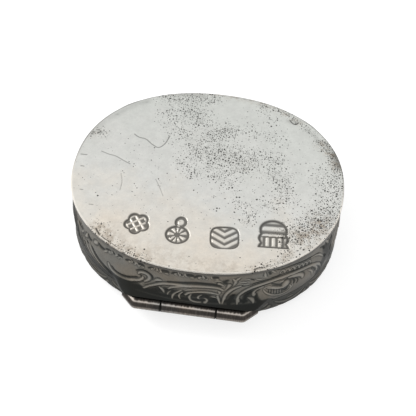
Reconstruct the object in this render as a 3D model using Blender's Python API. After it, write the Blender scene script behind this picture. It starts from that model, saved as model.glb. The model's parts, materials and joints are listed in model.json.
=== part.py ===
"""Small oval silver box with a hinged lid, lying on its lid with its base upwards.

X runs along the hinge, which is on the -Y side, and Z points out of the base.
The origin is on the surface that the lid lies on, under the middle of the oval.
The box body is parented to an empty on the hinge's axis: turning that empty opens the box.
"""

import math

import bmesh
import bpy
from mathutils import Vector

# The oval that every wall follows
box_length = 0.0440
box_width = 0.0392
oval_power = 2.19
outline_steps = 80

# Heights: the lid's from the surface it lies on to the mouth, and the body's from there up
lid_height = 0.0036
body_height = 0.0085

# Gaps: a soldered seam, and the play between pieces that move
seam_gap = 0.00004
mouth_gap = 0.0001
knuckle_gap = 0.00012
barrel_gap = 0.0001

# Base plate, the flat face that the box stands on in use
base_thickness = 0.00065
base_edge_round = 0.0001

# Side wall of the body, one swelled band
wall_sheet = 0.0005
wall_swell = 0.00022

# Flat plates round the two mouths, each with a lug that carries the hinge
mouth_plate_thickness = 0.0005
mouth_plate_setback = 0.00016
mouth_plate_width = 0.0009
lug_flare = 0.0011

# Collar inside the body's mouth, which the lid closes over
bezel_sheet = 0.0004
bezel_reach = 0.0010
bezel_rise = 0.0019
bezel_clearance = 0.00025

# Side band of the lid, flared under the mouth and rolled in to the panel
lid_sheet = 0.0004
lid_neck = 0.00042
lid_swell = 0.00032
lid_roll_width = 0.00144
lid_foot_rise = 0.00012
lid_roll_steps = 6

# Lid panel and the flat border that the lid lies on
panel_thickness = 0.0005
border_width = 0.0014
border_height = 0.00025
border_overlap = 0.00012

# Hinge
barrel_radius = 0.00107
barrel_setback = 0.00018
centre_knuckle_length = 0.0084
hinge_length = 0.01945
pin_radius = 0.0004
pin_clearance = 0.00004
plug_length = 0.00105
plug_gap = 0.00012
barrel_steps = 32
bore_steps = 24

# Thumb piece on the lid, opposite the hinge, standing out as far as the hinge does
thumb_length = 0.0080
thumb_thickness = 0.0009
thumb_edge_round = 0.00016
thumb_steps = 12

# One overrun for every cutter, so that it passes right through
cut_overrun = 0.0008
weld_distance = 0.0000005

# The wall's outer line, from the base down to the mouth: share of its height, share of its swell
wall_line_shares = (
    (0.00, -0.50),
    (0.10, -0.85),
    (0.24, -0.80),
    (0.40, -0.05),
    (0.55, 0.60),
    (0.68, 0.97),
    (0.78, 1.00),
    (0.88, 0.85),
    (0.95, 0.45),
    (1.00, -0.10),
)

# The border's section, from its outer edge to its inner edge: share of its width, share of its height
border_line_shares = (
    (0.00, 1.00),
    (0.00, 0.45),
    (0.12, 0.10),
    (0.30, 0.00),
    (0.70, 0.00),
    (0.88, 0.10),
    (1.00, 0.45),
    (1.00, 1.00),
)

# Silver, from the bright base to the tarnished walls
pale_silver = (0.80, 0.79, 0.76)
worn_silver = (0.62, 0.60, 0.57)
dark_silver = (0.34, 0.33, 0.31)
base_roughness = 0.38
wall_roughness = 0.42
inner_roughness = 0.35
hinge_roughness = 0.28
sharp_edge_angle = math.radians(30)

# Heights and places worked out from the sizes above
half_length = box_length / 2
half_width = box_width / 2
top_z = lid_height + body_height
base_under_z = top_z - base_thickness
body_plate_z = lid_height + mouth_gap / 2
body_plate_top_z = body_plate_z + mouth_plate_thickness
lid_plate_z = lid_height - mouth_gap / 2 - mouth_plate_thickness
mouth_inner_offset = -mouth_plate_setback - mouth_plate_width
bezel_offset = mouth_inner_offset - seam_gap
band_top_z = lid_plate_z - seam_gap
band_widest_z = band_top_z - 2 * lid_neck - lid_swell
band_foot_z = border_height + lid_foot_rise
band_foot_offset = lid_swell - lid_roll_width
panel_z = border_height + seam_gap
panel_offset = band_foot_offset - seam_gap
axis_y = -half_width + barrel_setback - barrel_radius
axis_z = lid_height
mitre_x = hinge_length / 2
half_centre_knuckle = centre_knuckle_length / 2
bore_radius = pin_radius + pin_clearance
hinge_reach = mitre_x + barrel_radius + lug_flare + cut_overrun
thumb_front_y = barrel_radius - axis_y


def clear_scene():
    for obj in list(bpy.data.objects):
        bpy.data.objects.remove(obj)


def new_collection(name):
    collection = bpy.data.collections.new(name)
    bpy.context.scene.collection.children.link(collection)
    return collection


def silver(obj, colour, roughness):
    """Gives the piece a silver of its own."""
    material = bpy.data.materials.new(obj.name + "_silver")
    material.use_nodes = True
    shader = material.node_tree.nodes["Principled BSDF"]
    shader.inputs["Base Color"].default_value = (*colour, 1)
    shader.inputs["Metallic"].default_value = 1
    shader.inputs["Roughness"].default_value = roughness
    obj.data.materials.append(material)


def as_guide(obj, collection):
    """A shape that cuts or steers another and is no piece of the box."""
    collection.objects.link(obj)
    obj.hide_render = True
    obj.display_type = "WIRE"
    return obj


def oval_point(angle, offset):
    """The oval's point at this angle, moved outwards by the offset."""
    across = math.copysign(abs(math.cos(angle)) ** (2 / oval_power), math.cos(angle))
    along = math.copysign(abs(math.sin(angle)) ** (2 / oval_power), math.sin(angle))
    slope_x = math.copysign(abs(across) ** (oval_power - 1), across) / half_length
    slope_y = math.copysign(abs(along) ** (oval_power - 1), along) / half_width
    outward = Vector((slope_x, slope_y)).normalized()
    return Vector((across * half_length, along * half_width)) + outward * offset


def oval_outline(offset):
    """The oval once round, from the middle of the hinge side."""
    turn = 2 * math.pi / outline_steps
    return [oval_point(step * turn - math.pi / 2, offset) for step in range(outline_steps)]


def side_y(x, offset):
    """How far the oval's long side is from its middle line at this x, found by halving."""
    low = 0
    high = math.pi / 2
    for _ in range(outline_steps):
        middle = (low + high) / 2
        if oval_point(middle, offset).x > x:
            low = middle
        else:
            high = middle
    return oval_point(low, offset).y


def poly_curve(name, outlines, dimensions):
    """A curve object with one closed line of straight runs for each outline."""
    curve = bpy.data.curves.new(name, "CURVE")
    curve.dimensions = dimensions
    for outline in outlines:
        spline = curve.splines.new("POLY")
        spline.points.add(len(outline) - 1)
        for point, place in zip(spline.points, outline):
            point.co = (place[0], place[1], 0, 1)
        spline.use_cyclic_u = True
    return bpy.data.objects.new(name, curve)


def oval_ring(name, section):
    """A closed section of (outward offset, height) points, swept round the oval."""
    guide = as_guide(poly_curve(name + "_section", [section], "2D"), guides)
    ring = poly_curve(name, [oval_outline(0)], "3D")
    ring.data.twist_mode = "Z_UP"
    ring.data.bevel_mode = "OBJECT"
    ring.data.bevel_object = guide
    parts.objects.link(ring)
    return ring


def flat_plate(name, outlines, low_z, thickness, edge_round):
    """A flat outline, with any holes in it, given a thickness and rounded edges."""
    plate = poly_curve(name, outlines, "2D")
    plate.data.fill_mode = "BOTH"
    plate.data.extrude = thickness / 2 - edge_round
    plate.data.bevel_depth = edge_round
    plate.data.bevel_resolution = 1
    plate.data.offset = -edge_round
    plate.location.z = low_z + thickness / 2
    parts.objects.link(plate)
    return plate


def as_mesh(curve_object):
    """The same piece as a closed mesh, so that it can be cut."""
    bpy.context.view_layer.update()
    graph = bpy.context.evaluated_depsgraph_get()
    mesh = bpy.data.meshes.new_from_object(curve_object.evaluated_get(graph))
    shape = bmesh.new()
    shape.from_mesh(mesh)
    bmesh.ops.remove_doubles(shape, verts=shape.verts, dist=weld_distance)
    shape.to_mesh(mesh)
    shape.free()
    name = curve_object.name
    placed = curve_object.matrix_world.copy()
    bpy.data.objects.remove(curve_object)
    solid = bpy.data.objects.new(name, mesh)
    solid.matrix_world = placed
    parts.objects.link(solid)
    return solid


def rod(name, radius, start_x, end_x, steps):
    """A round bar on the hinge's axis, between two places along it in either order."""
    mesh = bpy.data.meshes.new(name)
    shape = bmesh.new()
    bmesh.ops.create_cone(
        shape,
        cap_ends=True,
        segments=steps,
        radius1=radius,
        radius2=radius,
        depth=abs(end_x - start_x),
    )
    shape.to_mesh(mesh)
    shape.free()
    mesh.shade_smooth()
    mesh.set_sharp_from_angle(angle=sharp_edge_angle)
    bar = bpy.data.objects.new(name, mesh)
    bar.rotation_euler.y = math.pi / 2
    bar.location = ((start_x + end_x) / 2, axis_y, axis_z)
    return bar


def cut(piece, cutter):
    boolean = piece.modifiers.new("cut_by_" + cutter.name, "BOOLEAN")
    boolean.operation = "DIFFERENCE"
    boolean.solver = "EXACT"
    boolean.object = as_guide(cutter, cutters)


def mitre_block(side):
    """A block beyond the hinge's slanted end on one side, -1 or 1."""
    half_size = 2 * barrel_radius + cut_overrun
    mesh = bpy.data.meshes.new("mitre_block")
    shape = bmesh.new()
    bmesh.ops.create_cube(shape, size=2 * half_size)
    shape.to_mesh(mesh)
    shape.free()
    block = bpy.data.objects.new("mitre_block", mesh)
    block.rotation_euler.z = math.pi / 4
    outward = Vector((side, -1, 0)).normalized()
    block.location = Vector((side * mitre_x, axis_y, axis_z)) + outward * half_size
    return block


def sheet_section(line, thickness, end_direction):
    """A closed section: the outer line, and that line moved inwards by the sheet's thickness."""
    inner = []
    for index, point in enumerate(line):
        if index == 0:
            inward = Vector((-1, 0))
        elif index == len(line) - 1:
            inward = Vector(end_direction)
        else:
            run = (line[index + 1] - line[index - 1]).normalized()
            inward = Vector((run.y, -run.x))
        inner.append(point + inward * thickness)
    return line + inner[::-1]


def wall_section():
    """Drawn in a little under the base, swelling low down, then tucked in to the mouth."""
    high = base_under_z - seam_gap
    low = body_plate_top_z + seam_gap
    line = [
        Vector((swell * wall_swell, high + (low - high) * share))
        for share, swell in wall_line_shares
    ]
    return sheet_section(line, wall_sheet, (-1, 0))


def band_section():
    """A short flare below the lid's mouth, then a quarter round in to the panel."""
    line = [
        Vector((-lid_neck, band_top_z)),
        Vector((0, band_top_z - lid_neck)),
    ]
    for step in range(lid_roll_steps + 1):
        angle = math.pi / 2 * step / lid_roll_steps
        offset = band_foot_offset + math.cos(angle) * lid_roll_width
        height = band_widest_z + math.sin(angle) * (band_foot_z - band_widest_z)
        line.append(Vector((offset, height)))
    return sheet_section(line, lid_sheet, (0, 1))


def bezel_section():
    low = lid_height - bezel_reach
    high = lid_height + bezel_rise
    inner_offset = bezel_offset - bezel_sheet
    return [(bezel_offset, high), (bezel_offset, low), (inner_offset, low), (inner_offset, high)]


def border_section():
    outer = panel_offset + border_overlap
    return [
        (outer - share * border_width, height * border_height)
        for share, height in border_line_shares
    ]


def lug_outline():
    """A mouth plate's outer line: the oval, with a straight lug out to the hinge's axis."""
    corner_x = mitre_x + barrel_radius
    corner_y = axis_y + barrel_radius
    foot_x = corner_x + lug_flare
    foot_y = -side_y(foot_x, -mouth_plate_setback)
    oval = [
        point
        for point in oval_outline(-mouth_plate_setback)
        if point.y > 0 or abs(point.x) > foot_x + seam_gap
    ]
    right = [(mitre_x, axis_y), (corner_x, corner_y), (foot_x, foot_y)]
    left = [(-x, y) for x, y in reversed(right)]
    return right + oval + left


def mouth_plate(name, low_z, inner_offset, reliefs):
    """A flat mouth plate, seated on its own knuckles and relieved where the others turn."""
    outlines = [lug_outline(), oval_outline(inner_offset)]
    plate = as_mesh(flat_plate(name, outlines, low_z, mouth_plate_thickness, 0))
    seat_radius = barrel_radius + seam_gap
    relief_radius = barrel_radius + barrel_gap
    cut(plate, rod(name + "_seat", seat_radius, -hinge_reach, hinge_reach, barrel_steps))
    for start_x, end_x in reliefs:
        cut(plate, rod(name + "_relief", relief_radius, start_x, end_x, barrel_steps))
    return plate


def barrel_piece(name, radius, start_x, end_x, steps, side):
    """A rod that is a piece of the hinge, its outer end slanted where a side is given."""
    piece = rod(name, radius, start_x, end_x, steps)
    parts.objects.link(piece)
    if side:
        cut(piece, mitre_block(side))
    return piece


def knuckle(name, start_x, end_x, side):
    piece = barrel_piece(name, barrel_radius, start_x, end_x, barrel_steps, side)
    cut(piece, rod(name + "_bore", bore_radius, -hinge_reach, hinge_reach, bore_steps))
    return piece


def thumb_outline():
    """A shallow lip: its back follows the lid, and its front is one rounded arc."""
    half = thumb_length / 2
    back_offset = lid_swell + seam_gap
    corner_y = side_y(half, back_offset)
    depth = thumb_front_y - corner_y
    front = []
    for step in range(thumb_steps + 1):
        angle = math.pi * step / thumb_steps
        front.append((math.cos(angle) * half, corner_y + math.sin(angle) * depth))
    back = [
        (point.x, point.y)
        for point in oval_outline(back_offset)
        if point.y > 0 and abs(point.x) < half - seam_gap
    ]
    return front + sorted(back)


clear_scene()
parts = new_collection("silver_box")
cutters = new_collection("cutters")
guides = new_collection("guides")

# The box body, which turns about the hinge
base_plate = flat_plate(
    "base_plate", [oval_outline(0)], base_under_z, base_thickness, base_edge_round
)
body_wall = oval_ring("body_wall", wall_section())
clear_of_centre = half_centre_knuckle + knuckle_gap
body_mouth_plate = mouth_plate(
    "body_mouth_plate",
    body_plate_z,
    mouth_inner_offset,
    [(-clear_of_centre, clear_of_centre)],
)
body_bezel = oval_ring("body_bezel", bezel_section())
knuckles = []
hinge_plugs = []
for title, side in (("left", -1), ("right", 1)):
    far_x = side * hinge_reach
    near_x = side * clear_of_centre
    knuckles.append(knuckle("outer_knuckle_" + title, near_x, far_x, side))
    plug_x = side * (mitre_x - plug_length)
    plug_radius = bore_radius - seam_gap
    plug = barrel_piece("hinge_plug_" + title, plug_radius, plug_x, far_x, bore_steps, side)
    hinge_plugs.append(plug)
half_pin = mitre_x - plug_length - plug_gap
hinge_pin = barrel_piece("hinge_pin", pin_radius, -half_pin, half_pin, bore_steps, 0)
body_pieces = [base_plate, body_wall, body_mouth_plate, body_bezel, hinge_pin]
body_pieces += knuckles + hinge_plugs

# The lid, which stays on the surface
lid_mouth_plate = mouth_plate(
    "lid_mouth_plate",
    lid_plate_z,
    bezel_offset + bezel_clearance,
    [(-hinge_reach, -half_centre_knuckle), (half_centre_knuckle, hinge_reach)],
)
lid_band = oval_ring("lid_band", band_section())
lid_panel = flat_plate("lid_panel", [oval_outline(panel_offset)], panel_z, panel_thickness, 0)
lid_border = oval_ring("lid_border", border_section())
thumb_z = band_widest_z - thumb_thickness / 2
thumb_piece = flat_plate(
    "thumb_piece", [thumb_outline()], thumb_z, thumb_thickness, thumb_edge_round
)
centre_knuckle = knuckle("centre_knuckle", -half_centre_knuckle, half_centre_knuckle, 0)

# The body turns with an empty on the hinge's axis
hinge_axis = bpy.data.objects.new("hinge_axis", None)
hinge_axis.location = (0, axis_y, axis_z)
parts.objects.link(hinge_axis)
for piece in body_pieces:
    piece.parent = hinge_axis
    piece.location -= hinge_axis.location

# The silver of each piece
silver(base_plate, pale_silver, base_roughness)
for piece in (body_wall, body_mouth_plate, lid_mouth_plate, lid_band):
    silver(piece, dark_silver, wall_roughness)
for piece in (body_bezel, lid_panel, lid_border, thumb_piece):
    silver(piece, worn_silver, inner_roughness)
for piece in knuckles + hinge_plugs + [centre_knuckle, hinge_pin]:
    silver(piece, worn_silver, hinge_roughness)
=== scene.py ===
# %% [markdown]
# A small oval silver box lies turned over on its lid, so that its plain base is on top.
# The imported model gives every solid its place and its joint. This script gives the box
# its looks: the chased wall, the worn base, the hinge and the tarnish. Each step says
# what the real thing is, how it could be made in Blender, and why this way was chosen.

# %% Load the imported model
import json
import math

import bmesh
import bpy
import numpy as np
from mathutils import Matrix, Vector, noise

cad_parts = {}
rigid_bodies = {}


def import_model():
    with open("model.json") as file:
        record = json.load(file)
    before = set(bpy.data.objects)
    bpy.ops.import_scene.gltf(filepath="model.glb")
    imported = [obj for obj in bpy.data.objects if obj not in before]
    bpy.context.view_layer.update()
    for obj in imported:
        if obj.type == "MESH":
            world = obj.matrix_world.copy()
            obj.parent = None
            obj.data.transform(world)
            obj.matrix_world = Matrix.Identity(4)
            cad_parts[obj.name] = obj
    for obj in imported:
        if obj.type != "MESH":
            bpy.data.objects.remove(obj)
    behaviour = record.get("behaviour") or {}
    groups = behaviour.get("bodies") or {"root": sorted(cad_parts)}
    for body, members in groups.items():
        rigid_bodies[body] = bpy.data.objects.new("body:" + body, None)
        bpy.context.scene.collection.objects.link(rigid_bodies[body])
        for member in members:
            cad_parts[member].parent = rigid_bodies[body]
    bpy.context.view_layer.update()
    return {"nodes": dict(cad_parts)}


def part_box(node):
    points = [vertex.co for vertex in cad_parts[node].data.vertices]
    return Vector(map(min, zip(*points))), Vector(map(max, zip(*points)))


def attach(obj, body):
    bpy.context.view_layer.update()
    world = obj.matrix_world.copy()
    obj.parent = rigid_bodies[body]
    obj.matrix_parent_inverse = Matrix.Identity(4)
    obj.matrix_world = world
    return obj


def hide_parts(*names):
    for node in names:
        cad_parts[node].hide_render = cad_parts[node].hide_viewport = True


for leftover in list(bpy.data.objects):
    bpy.data.objects.remove(leftover)

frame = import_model()
scene = bpy.context.scene
mm = 0.001

# %% [markdown]
# The camera comes first, because some places on the base are named by the pixel where
# the photograph shows them. A fit to the box's outlines gave the place, turn and lens.

# %% Camera at the photograph's viewing angle
photo_size = 416
camera_place = (0.00829398, -0.08352092, 0.10245532)
camera_turn = (40.2939, -1.8651, 7.7198)
camera_lens = 65.7527
camera_sensor = 36

camera_data = bpy.data.cameras.new("photo_camera")
camera_data.lens = camera_lens
camera_data.sensor_width = camera_sensor
camera_data.clip_start = mm
camera = bpy.data.objects.new("photo_camera", camera_data)
camera.location = camera_place
camera.rotation_euler = [math.radians(turn) for turn in camera_turn]
scene.collection.objects.link(camera)
scene.camera = camera
bpy.context.view_layer.update()


def point_under_pixel(pixel, height):
    """The place at this height that the photograph shows at this pixel."""
    across = (pixel[0] - photo_size / 2) / photo_size * camera_sensor / camera_lens
    upwards = (photo_size / 2 - pixel[1]) / photo_size * camera_sensor / camera_lens
    ray = camera.matrix_world.to_3x3() @ Vector((across, upwards, -1))
    reach = (height - camera.location.z) / ray.z
    return camera.location + ray * reach


print("camera at", [round(value / mm, 1) for value in camera_place], "mm")

# %% [markdown]
# The floor is a plain pale sheet. It has to come out white and still keep the faint
# shadow to the right of the box. Much more light would wash out the silver, so the
# floor adds a glow of its own, which only the camera and mirror rays see.

# %% Pick pieces by hand


def pick_nothing():
    """Operators act on all that is selected, so every step starts with nothing picked."""
    if bpy.context.object and bpy.context.object.mode != "OBJECT":
        bpy.ops.object.mode_set(mode="OBJECT")
    bpy.ops.object.select_all(action="DESELECT")


def pick(piece):
    """Selects this piece alone."""
    pick_nothing()
    piece.select_set(True)
    bpy.context.view_layer.objects.active = piece


pick_nothing()
print("picked:", len(bpy.context.selected_objects), "pieces")

# %% The floor
floor_half_size = 3.0
floor_colour = (0.44, 0.44, 0.44, 1)
floor_glow = 0.72


def white_floor_material():
    material = bpy.data.materials.new("pale_floor")
    material.use_nodes = True
    tree = material.node_tree
    tree.nodes.clear()
    paper = tree.nodes.new("ShaderNodeBsdfDiffuse")
    paper.inputs["Color"].default_value = floor_colour
    glow = tree.nodes.new("ShaderNodeEmission")
    glow.inputs["Strength"].default_value = floor_glow
    paths = tree.nodes.new("ShaderNodeLightPath")
    seen = paths.outputs["Is Camera Ray"]
    for ray in ("Is Glossy Ray", "Is Transmission Ray"):
        either = tree.nodes.new("ShaderNodeMath")
        either.operation = "MAXIMUM"
        tree.links.new(seen, either.inputs[0])
        tree.links.new(paths.outputs[ray], either.inputs[1])
        seen = either.outputs[0]
    none = tree.nodes.new("ShaderNodeEmission")
    none.inputs["Strength"].default_value = 0
    switch = tree.nodes.new("ShaderNodeMixShader")
    tree.links.new(seen, switch.inputs[0])
    tree.links.new(none.outputs[0], switch.inputs[1])
    tree.links.new(glow.outputs[0], switch.inputs[2])
    both = tree.nodes.new("ShaderNodeAddShader")
    tree.links.new(paper.outputs[0], both.inputs[0])
    tree.links.new(switch.outputs[0], both.inputs[1])
    output = tree.nodes.new("ShaderNodeOutputMaterial")
    tree.links.new(both.outputs[0], output.inputs["Surface"])
    return material


pick_nothing()
bpy.ops.mesh.primitive_plane_add(size=2 * floor_half_size, location=(0, 0, 0))
floor = bpy.context.object
floor.name = "floor"
floor.data.materials.append(white_floor_material())
print("floor:", 2 * floor_half_size, "m wide")

# %% Room light and one window light
world_colour = (1.0, 1.0, 1.0, 1)
world_strength = 0.82
key_place = (-0.30, 0.10, 0.22)
key_size = 0.16
key_power = 0.7
world = bpy.data.worlds.new("soft_white_room")
scene.world = world
world.use_nodes = True
background = world.node_tree.nodes["Background"]
background.inputs["Color"].default_value = world_colour
world_paths = world.node_tree.nodes.new("ShaderNodeLightPath")
world_level = world.node_tree.nodes.new("ShaderNodeMapRange")
world_level.inputs["To Min"].default_value = world_strength
world_level.inputs["To Max"].default_value = 1.0
world.node_tree.links.new(world_paths.outputs["Is Camera Ray"], world_level.inputs["Value"])
world.node_tree.links.new(world_level.outputs[0], background.inputs["Strength"])

key_data = bpy.data.lights.new("window_light", "AREA")
key_data.size = key_size
key_data.energy = key_power
key = bpy.data.objects.new("window_light", key_data)
key.location = key_place
key.rotation_euler = (-Vector(key_place)).to_track_quat("-Z", "Y").to_euler()
scene.collection.objects.link(key)
scene.view_settings.view_transform = "Standard"
print("room light:", world_strength, "window light:", key_power, "W")

# %% [markdown]
# The tone also carries painted light: painted shade on the wall and the lug, and a painted
# highlight, reflection bands and shade round the hinge.
# Old silver is never one colour. It is pale where it is rubbed, brown-grey where it
# has tarnished, and almost black in the hollows. Each mesh below carries a value
# called tone on its points: 0 in a hollow, a half on plain metal, 1 on a rubbed edge.
# The shader turns that into colour and roughness, and noise in the object's own
# coordinates breaks it up, so that nothing looks printed.

# %% A short way to write materials


class Nodes:
    """Shader nodes of one material."""

    def __init__(self, name):
        self.material = bpy.data.materials.new(name)
        self.material.use_nodes = True
        self.tree = self.material.node_tree
        self.shader = self.tree.nodes["Principled BSDF"]
        place = self.add("ShaderNodeTexCoord")
        self.place = place.outputs["Object"]

    def add(self, kind, **settings):
        node = self.tree.nodes.new(kind)
        for setting, value in settings.items():
            setattr(node, setting, value)
        return node

    def join(self, source, socket):
        self.tree.links.new(source, socket)

    def value(self, name):
        """A value that the mesh's points carry."""
        node = self.add("ShaderNodeAttribute", attribute_name=name)
        return node.outputs["Fac"]

    def math(self, operation, first, second=None, third=None):
        node = self.add("ShaderNodeMath", operation=operation)
        for socket, given in zip(node.inputs, (first, second, third)):
            if isinstance(given, (int, float)):
                socket.default_value = given
            elif given is not None:
                self.join(given, socket)
        return node.outputs[0]

    def noise(self, size, detail=4, rough=0.6, stretch=(1, 1, 1)):
        """Cloudy noise whose patches are about this size in metres."""
        mapping = self.add("ShaderNodeMapping")
        mapping.inputs["Scale"].default_value = stretch
        self.join(self.place, mapping.inputs["Vector"])
        node = self.add("ShaderNodeTexNoise")
        node.inputs["Scale"].default_value = 1 / size
        node.inputs["Detail"].default_value = detail
        node.inputs["Roughness"].default_value = rough
        self.join(mapping.outputs[0], node.inputs["Vector"])
        return node.outputs["Fac"]

    def ramp(self, source, stops):
        """Colours or greys at places from 0 to 1, blended between."""
        node = self.add("ShaderNodeValToRGB")
        line = node.color_ramp
        while len(line.elements) > 1:
            line.elements.remove(line.elements[-1])
        for index, (place, colour) in enumerate(stops):
            stop = line.elements[0] if index == 0 else line.elements.new(place)
            stop.position = place
            stop.color = (*colour, 1)
        self.join(source, node.inputs[0])
        return node.outputs["Color"]

    def mix(self, share, first, second, blend="MIX"):
        node = self.add("ShaderNodeMix", data_type="RGBA", blend_type=blend)
        colours = [socket for socket in node.inputs if socket.type == "RGBA"]
        factor = node.inputs[0]
        for socket, given in ((factor, share), (colours[0], first), (colours[1], second)):
            if isinstance(given, tuple):
                socket.default_value = (*given, 1)
            elif isinstance(given, (int, float)):
                socket.default_value = given
            else:
                self.join(given, socket)
        return [socket for socket in node.outputs if socket.type == "RGBA"][0]

    def bump(self, height, strength, depth):
        node = self.add("ShaderNodeBump")
        node.inputs["Strength"].default_value = strength
        node.inputs["Distance"].default_value = depth
        self.join(height, node.inputs["Height"])
        self.join(node.outputs[0], self.shader.inputs["Normal"])


def grey(level):
    return (level, level, level)


print("a middle grey is written as", grey(0.5))

# %% Aged silver
tone_places = (0.0, 0.25, 0.5, 0.75, 1.0)
cloud_size = 2.2 * mm
speck_size = 0.22 * mm
tint_size = 5 * mm
warm_tint = (1.04, 1.0, 0.95)
cool_tint = (0.96, 1.0, 1.03)
tint_stops = ((0.38, warm_tint), (0.62, cool_tint))
silver_metallic = 0.92
grain_strength = 0.6


def aged_silver(name, colours, rough, grain_depth, cloud=0.22, stretch=(1, 1, 1), fleck=0.24):
    """Silver whose colour follows the tone, from the hollows to the rubbed edges, with painted
    shade and painted highlights where the tone carries them.
    """
    nodes = Nodes(name)
    clouds = nodes.noise(cloud_size, 5, 0.62)
    specks = nodes.noise(speck_size, 3, 0.7, stretch)
    shift = nodes.math("MULTIPLY_ADD", clouds, cloud, -cloud / 2)
    flecks = nodes.math("MULTIPLY_ADD", specks, fleck, -fleck / 2)
    tone = nodes.math("ADD", nodes.value("tone"), nodes.math("ADD", shift, flecks))
    colour = nodes.ramp(tone, zip(tone_places, colours))
    tint = nodes.ramp(nodes.noise(tint_size, 3), tint_stops)
    nodes.join(nodes.mix(1.0, colour, tint, "MULTIPLY"), nodes.shader.inputs["Base Color"])
    roughness = nodes.ramp(tone, [(0.0, grey(rough[0])), (1.0, grey(rough[1]))])
    nodes.join(roughness, nodes.shader.inputs["Roughness"])
    nodes.shader.inputs["Metallic"].default_value = silver_metallic
    nodes.bump(specks, grain_strength, grain_depth)
    return nodes.material


wall_tones = (
    (0.027, 0.028, 0.026),
    (0.060, 0.059, 0.053),
    (0.160, 0.148, 0.128),
    (0.245, 0.229, 0.203),
    (0.420, 0.395, 0.360),
)
hinge_tones = (
    (0.012, 0.011, 0.010),
    (0.050, 0.044, 0.040),
    (0.140, 0.125, 0.112),
    (0.300, 0.270, 0.245),
    (0.620, 0.570, 0.530),
)
inner_tones = (
    (0.060, 0.056, 0.050),
    (0.200, 0.190, 0.175),
    (0.420, 0.405, 0.380),
    (0.560, 0.545, 0.520),
    (0.720, 0.705, 0.680),
)
wall_silver = aged_silver(
    "oxidised_wall_silver_painted_shade", wall_tones, rough=(0.58, 0.36), grain_depth=0.012 * mm
)
hinge_silver = aged_silver(
    "hinge_silver_wear_and_painted_light", hinge_tones, rough=(0.5, 0.26), grain_depth=0.01 * mm,
    cloud=0.30, stretch=(1.4, 0.20, 0.20), fleck=0.50,
)
inner_silver = aged_silver(
    "plain_inner_silver", inner_tones, rough=(0.5, 0.34), grain_depth=0.008 * mm
)
print("aged silvers:", [m.name for m in (wall_silver, hinge_silver, inner_silver)])

# %% [markdown]
# The whole box follows one oval, a little squarer than an ellipse. The sizes are read
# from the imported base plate, which is the oval itself. The helper below walks round it
# by real distance, starting in the middle of the hinge, so that ornament drawn flat in
# millimetres keeps its size when it is bent round the box.

# %% The oval and distances round it
oval_power = 2.19
base_low, base_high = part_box("base_plate")
wall_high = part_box("body_wall")[1]
half_length = base_high.x
half_width = base_high.y
walk_steps = 20000


def oval_place(angle, offset):
    """Points of the oval at these angles, moved outwards by the offsets."""
    turn_x = np.cos(angle)
    turn_y = np.sin(angle)
    share_x = np.sign(turn_x) * np.abs(turn_x) ** (2 / oval_power)
    share_y = np.sign(turn_y) * np.abs(turn_y) ** (2 / oval_power)
    out_x = np.sign(share_x) * np.abs(share_x) ** (oval_power - 1) / half_length
    out_y = np.sign(share_y) * np.abs(share_y) ** (oval_power - 1) / half_width
    length = np.hypot(out_x, out_y)
    x = share_x * half_length + out_x / length * offset
    y = share_y * half_width + out_y / length * offset
    return x, y


walk_angles = np.linspace(-1.5 * math.pi, 0.5 * math.pi, walk_steps + 1)
walk_x, walk_y = oval_place(walk_angles, 0)
walk_lengths = np.concatenate([[0], np.cumsum(np.hypot(np.diff(walk_x), np.diff(walk_y)))])
girth = walk_lengths[-1]
walk_lengths -= girth / 2


def angle_at(distance):
    """The oval's angle at this distance from the hinge's middle, to the right."""
    wrapped = (distance + girth / 2) % girth - girth / 2
    return np.interp(wrapped, walk_lengths, walk_angles)


print("the oval is", round(girth / mm, 2), "mm round")

# %% [markdown]
# The wall's ornament is chased scrollwork: raised lines with a dark groove beside
# them, volutes, a ribbed shell and a ruffle of small shells under the base. It could be
# painted with a bump texture, but then its edge would stay smooth against the floor.
# Here it is drawn as strokes in millimetres, distance along the wall and height, and
# the strokes lift or sink the points of a fine mesh.

# %% Smooth lines and their widths
line_steps = 6


def smooth_line(points):
    """A smooth line through all the points."""
    given = np.array(points, float)
    if len(given) < 3:
        return given
    ends = [2 * given[0] - given[1], *given, 2 * given[-1] - given[-2]]
    line = []
    for before, start, stop, after in zip(ends[:-3], ends[1:-2], ends[2:-1], ends[3:]):
        for share in np.linspace(0, 1, line_steps, endpoint=False):
            bend = 2 * before - 5 * start + 4 * stop - after
            turn = 3 * start - before - 3 * stop + after
            rise = (stop - before) * share + bend * share**2 + turn * share**3
            line.append(start + rise / 2)
    return np.array(line + [given[-1]])


def width_shares(kind, count):
    """How a stroke's width runs from its start to its end."""
    share = np.linspace(0, 1, count)
    if kind == "leaf":
        return 0.2 + 0.8 * np.sin(math.pi * share)
    if kind == "drop":
        return 1 - 0.8 * share
    if kind == "pool":
        return 0.6 + 0.4 * np.sin(math.pi * share)
    return 0.55 + 0.45 * np.sin(math.pi * share) ** 0.6


print("a line of 3 points is smoothed to", len(smooth_line([(0, 0), (1, 1), (2, 0)])), "points")

# %% Strokes that lift and sink a sheet of metal
all_round = girth / mm
stroke_reach = 2.6
dip_softness = {"cut": 1.6, "pool": 1.3}
moat_place = 1.5
moat_width = 0.45
moat_depth = 0.72


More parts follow.
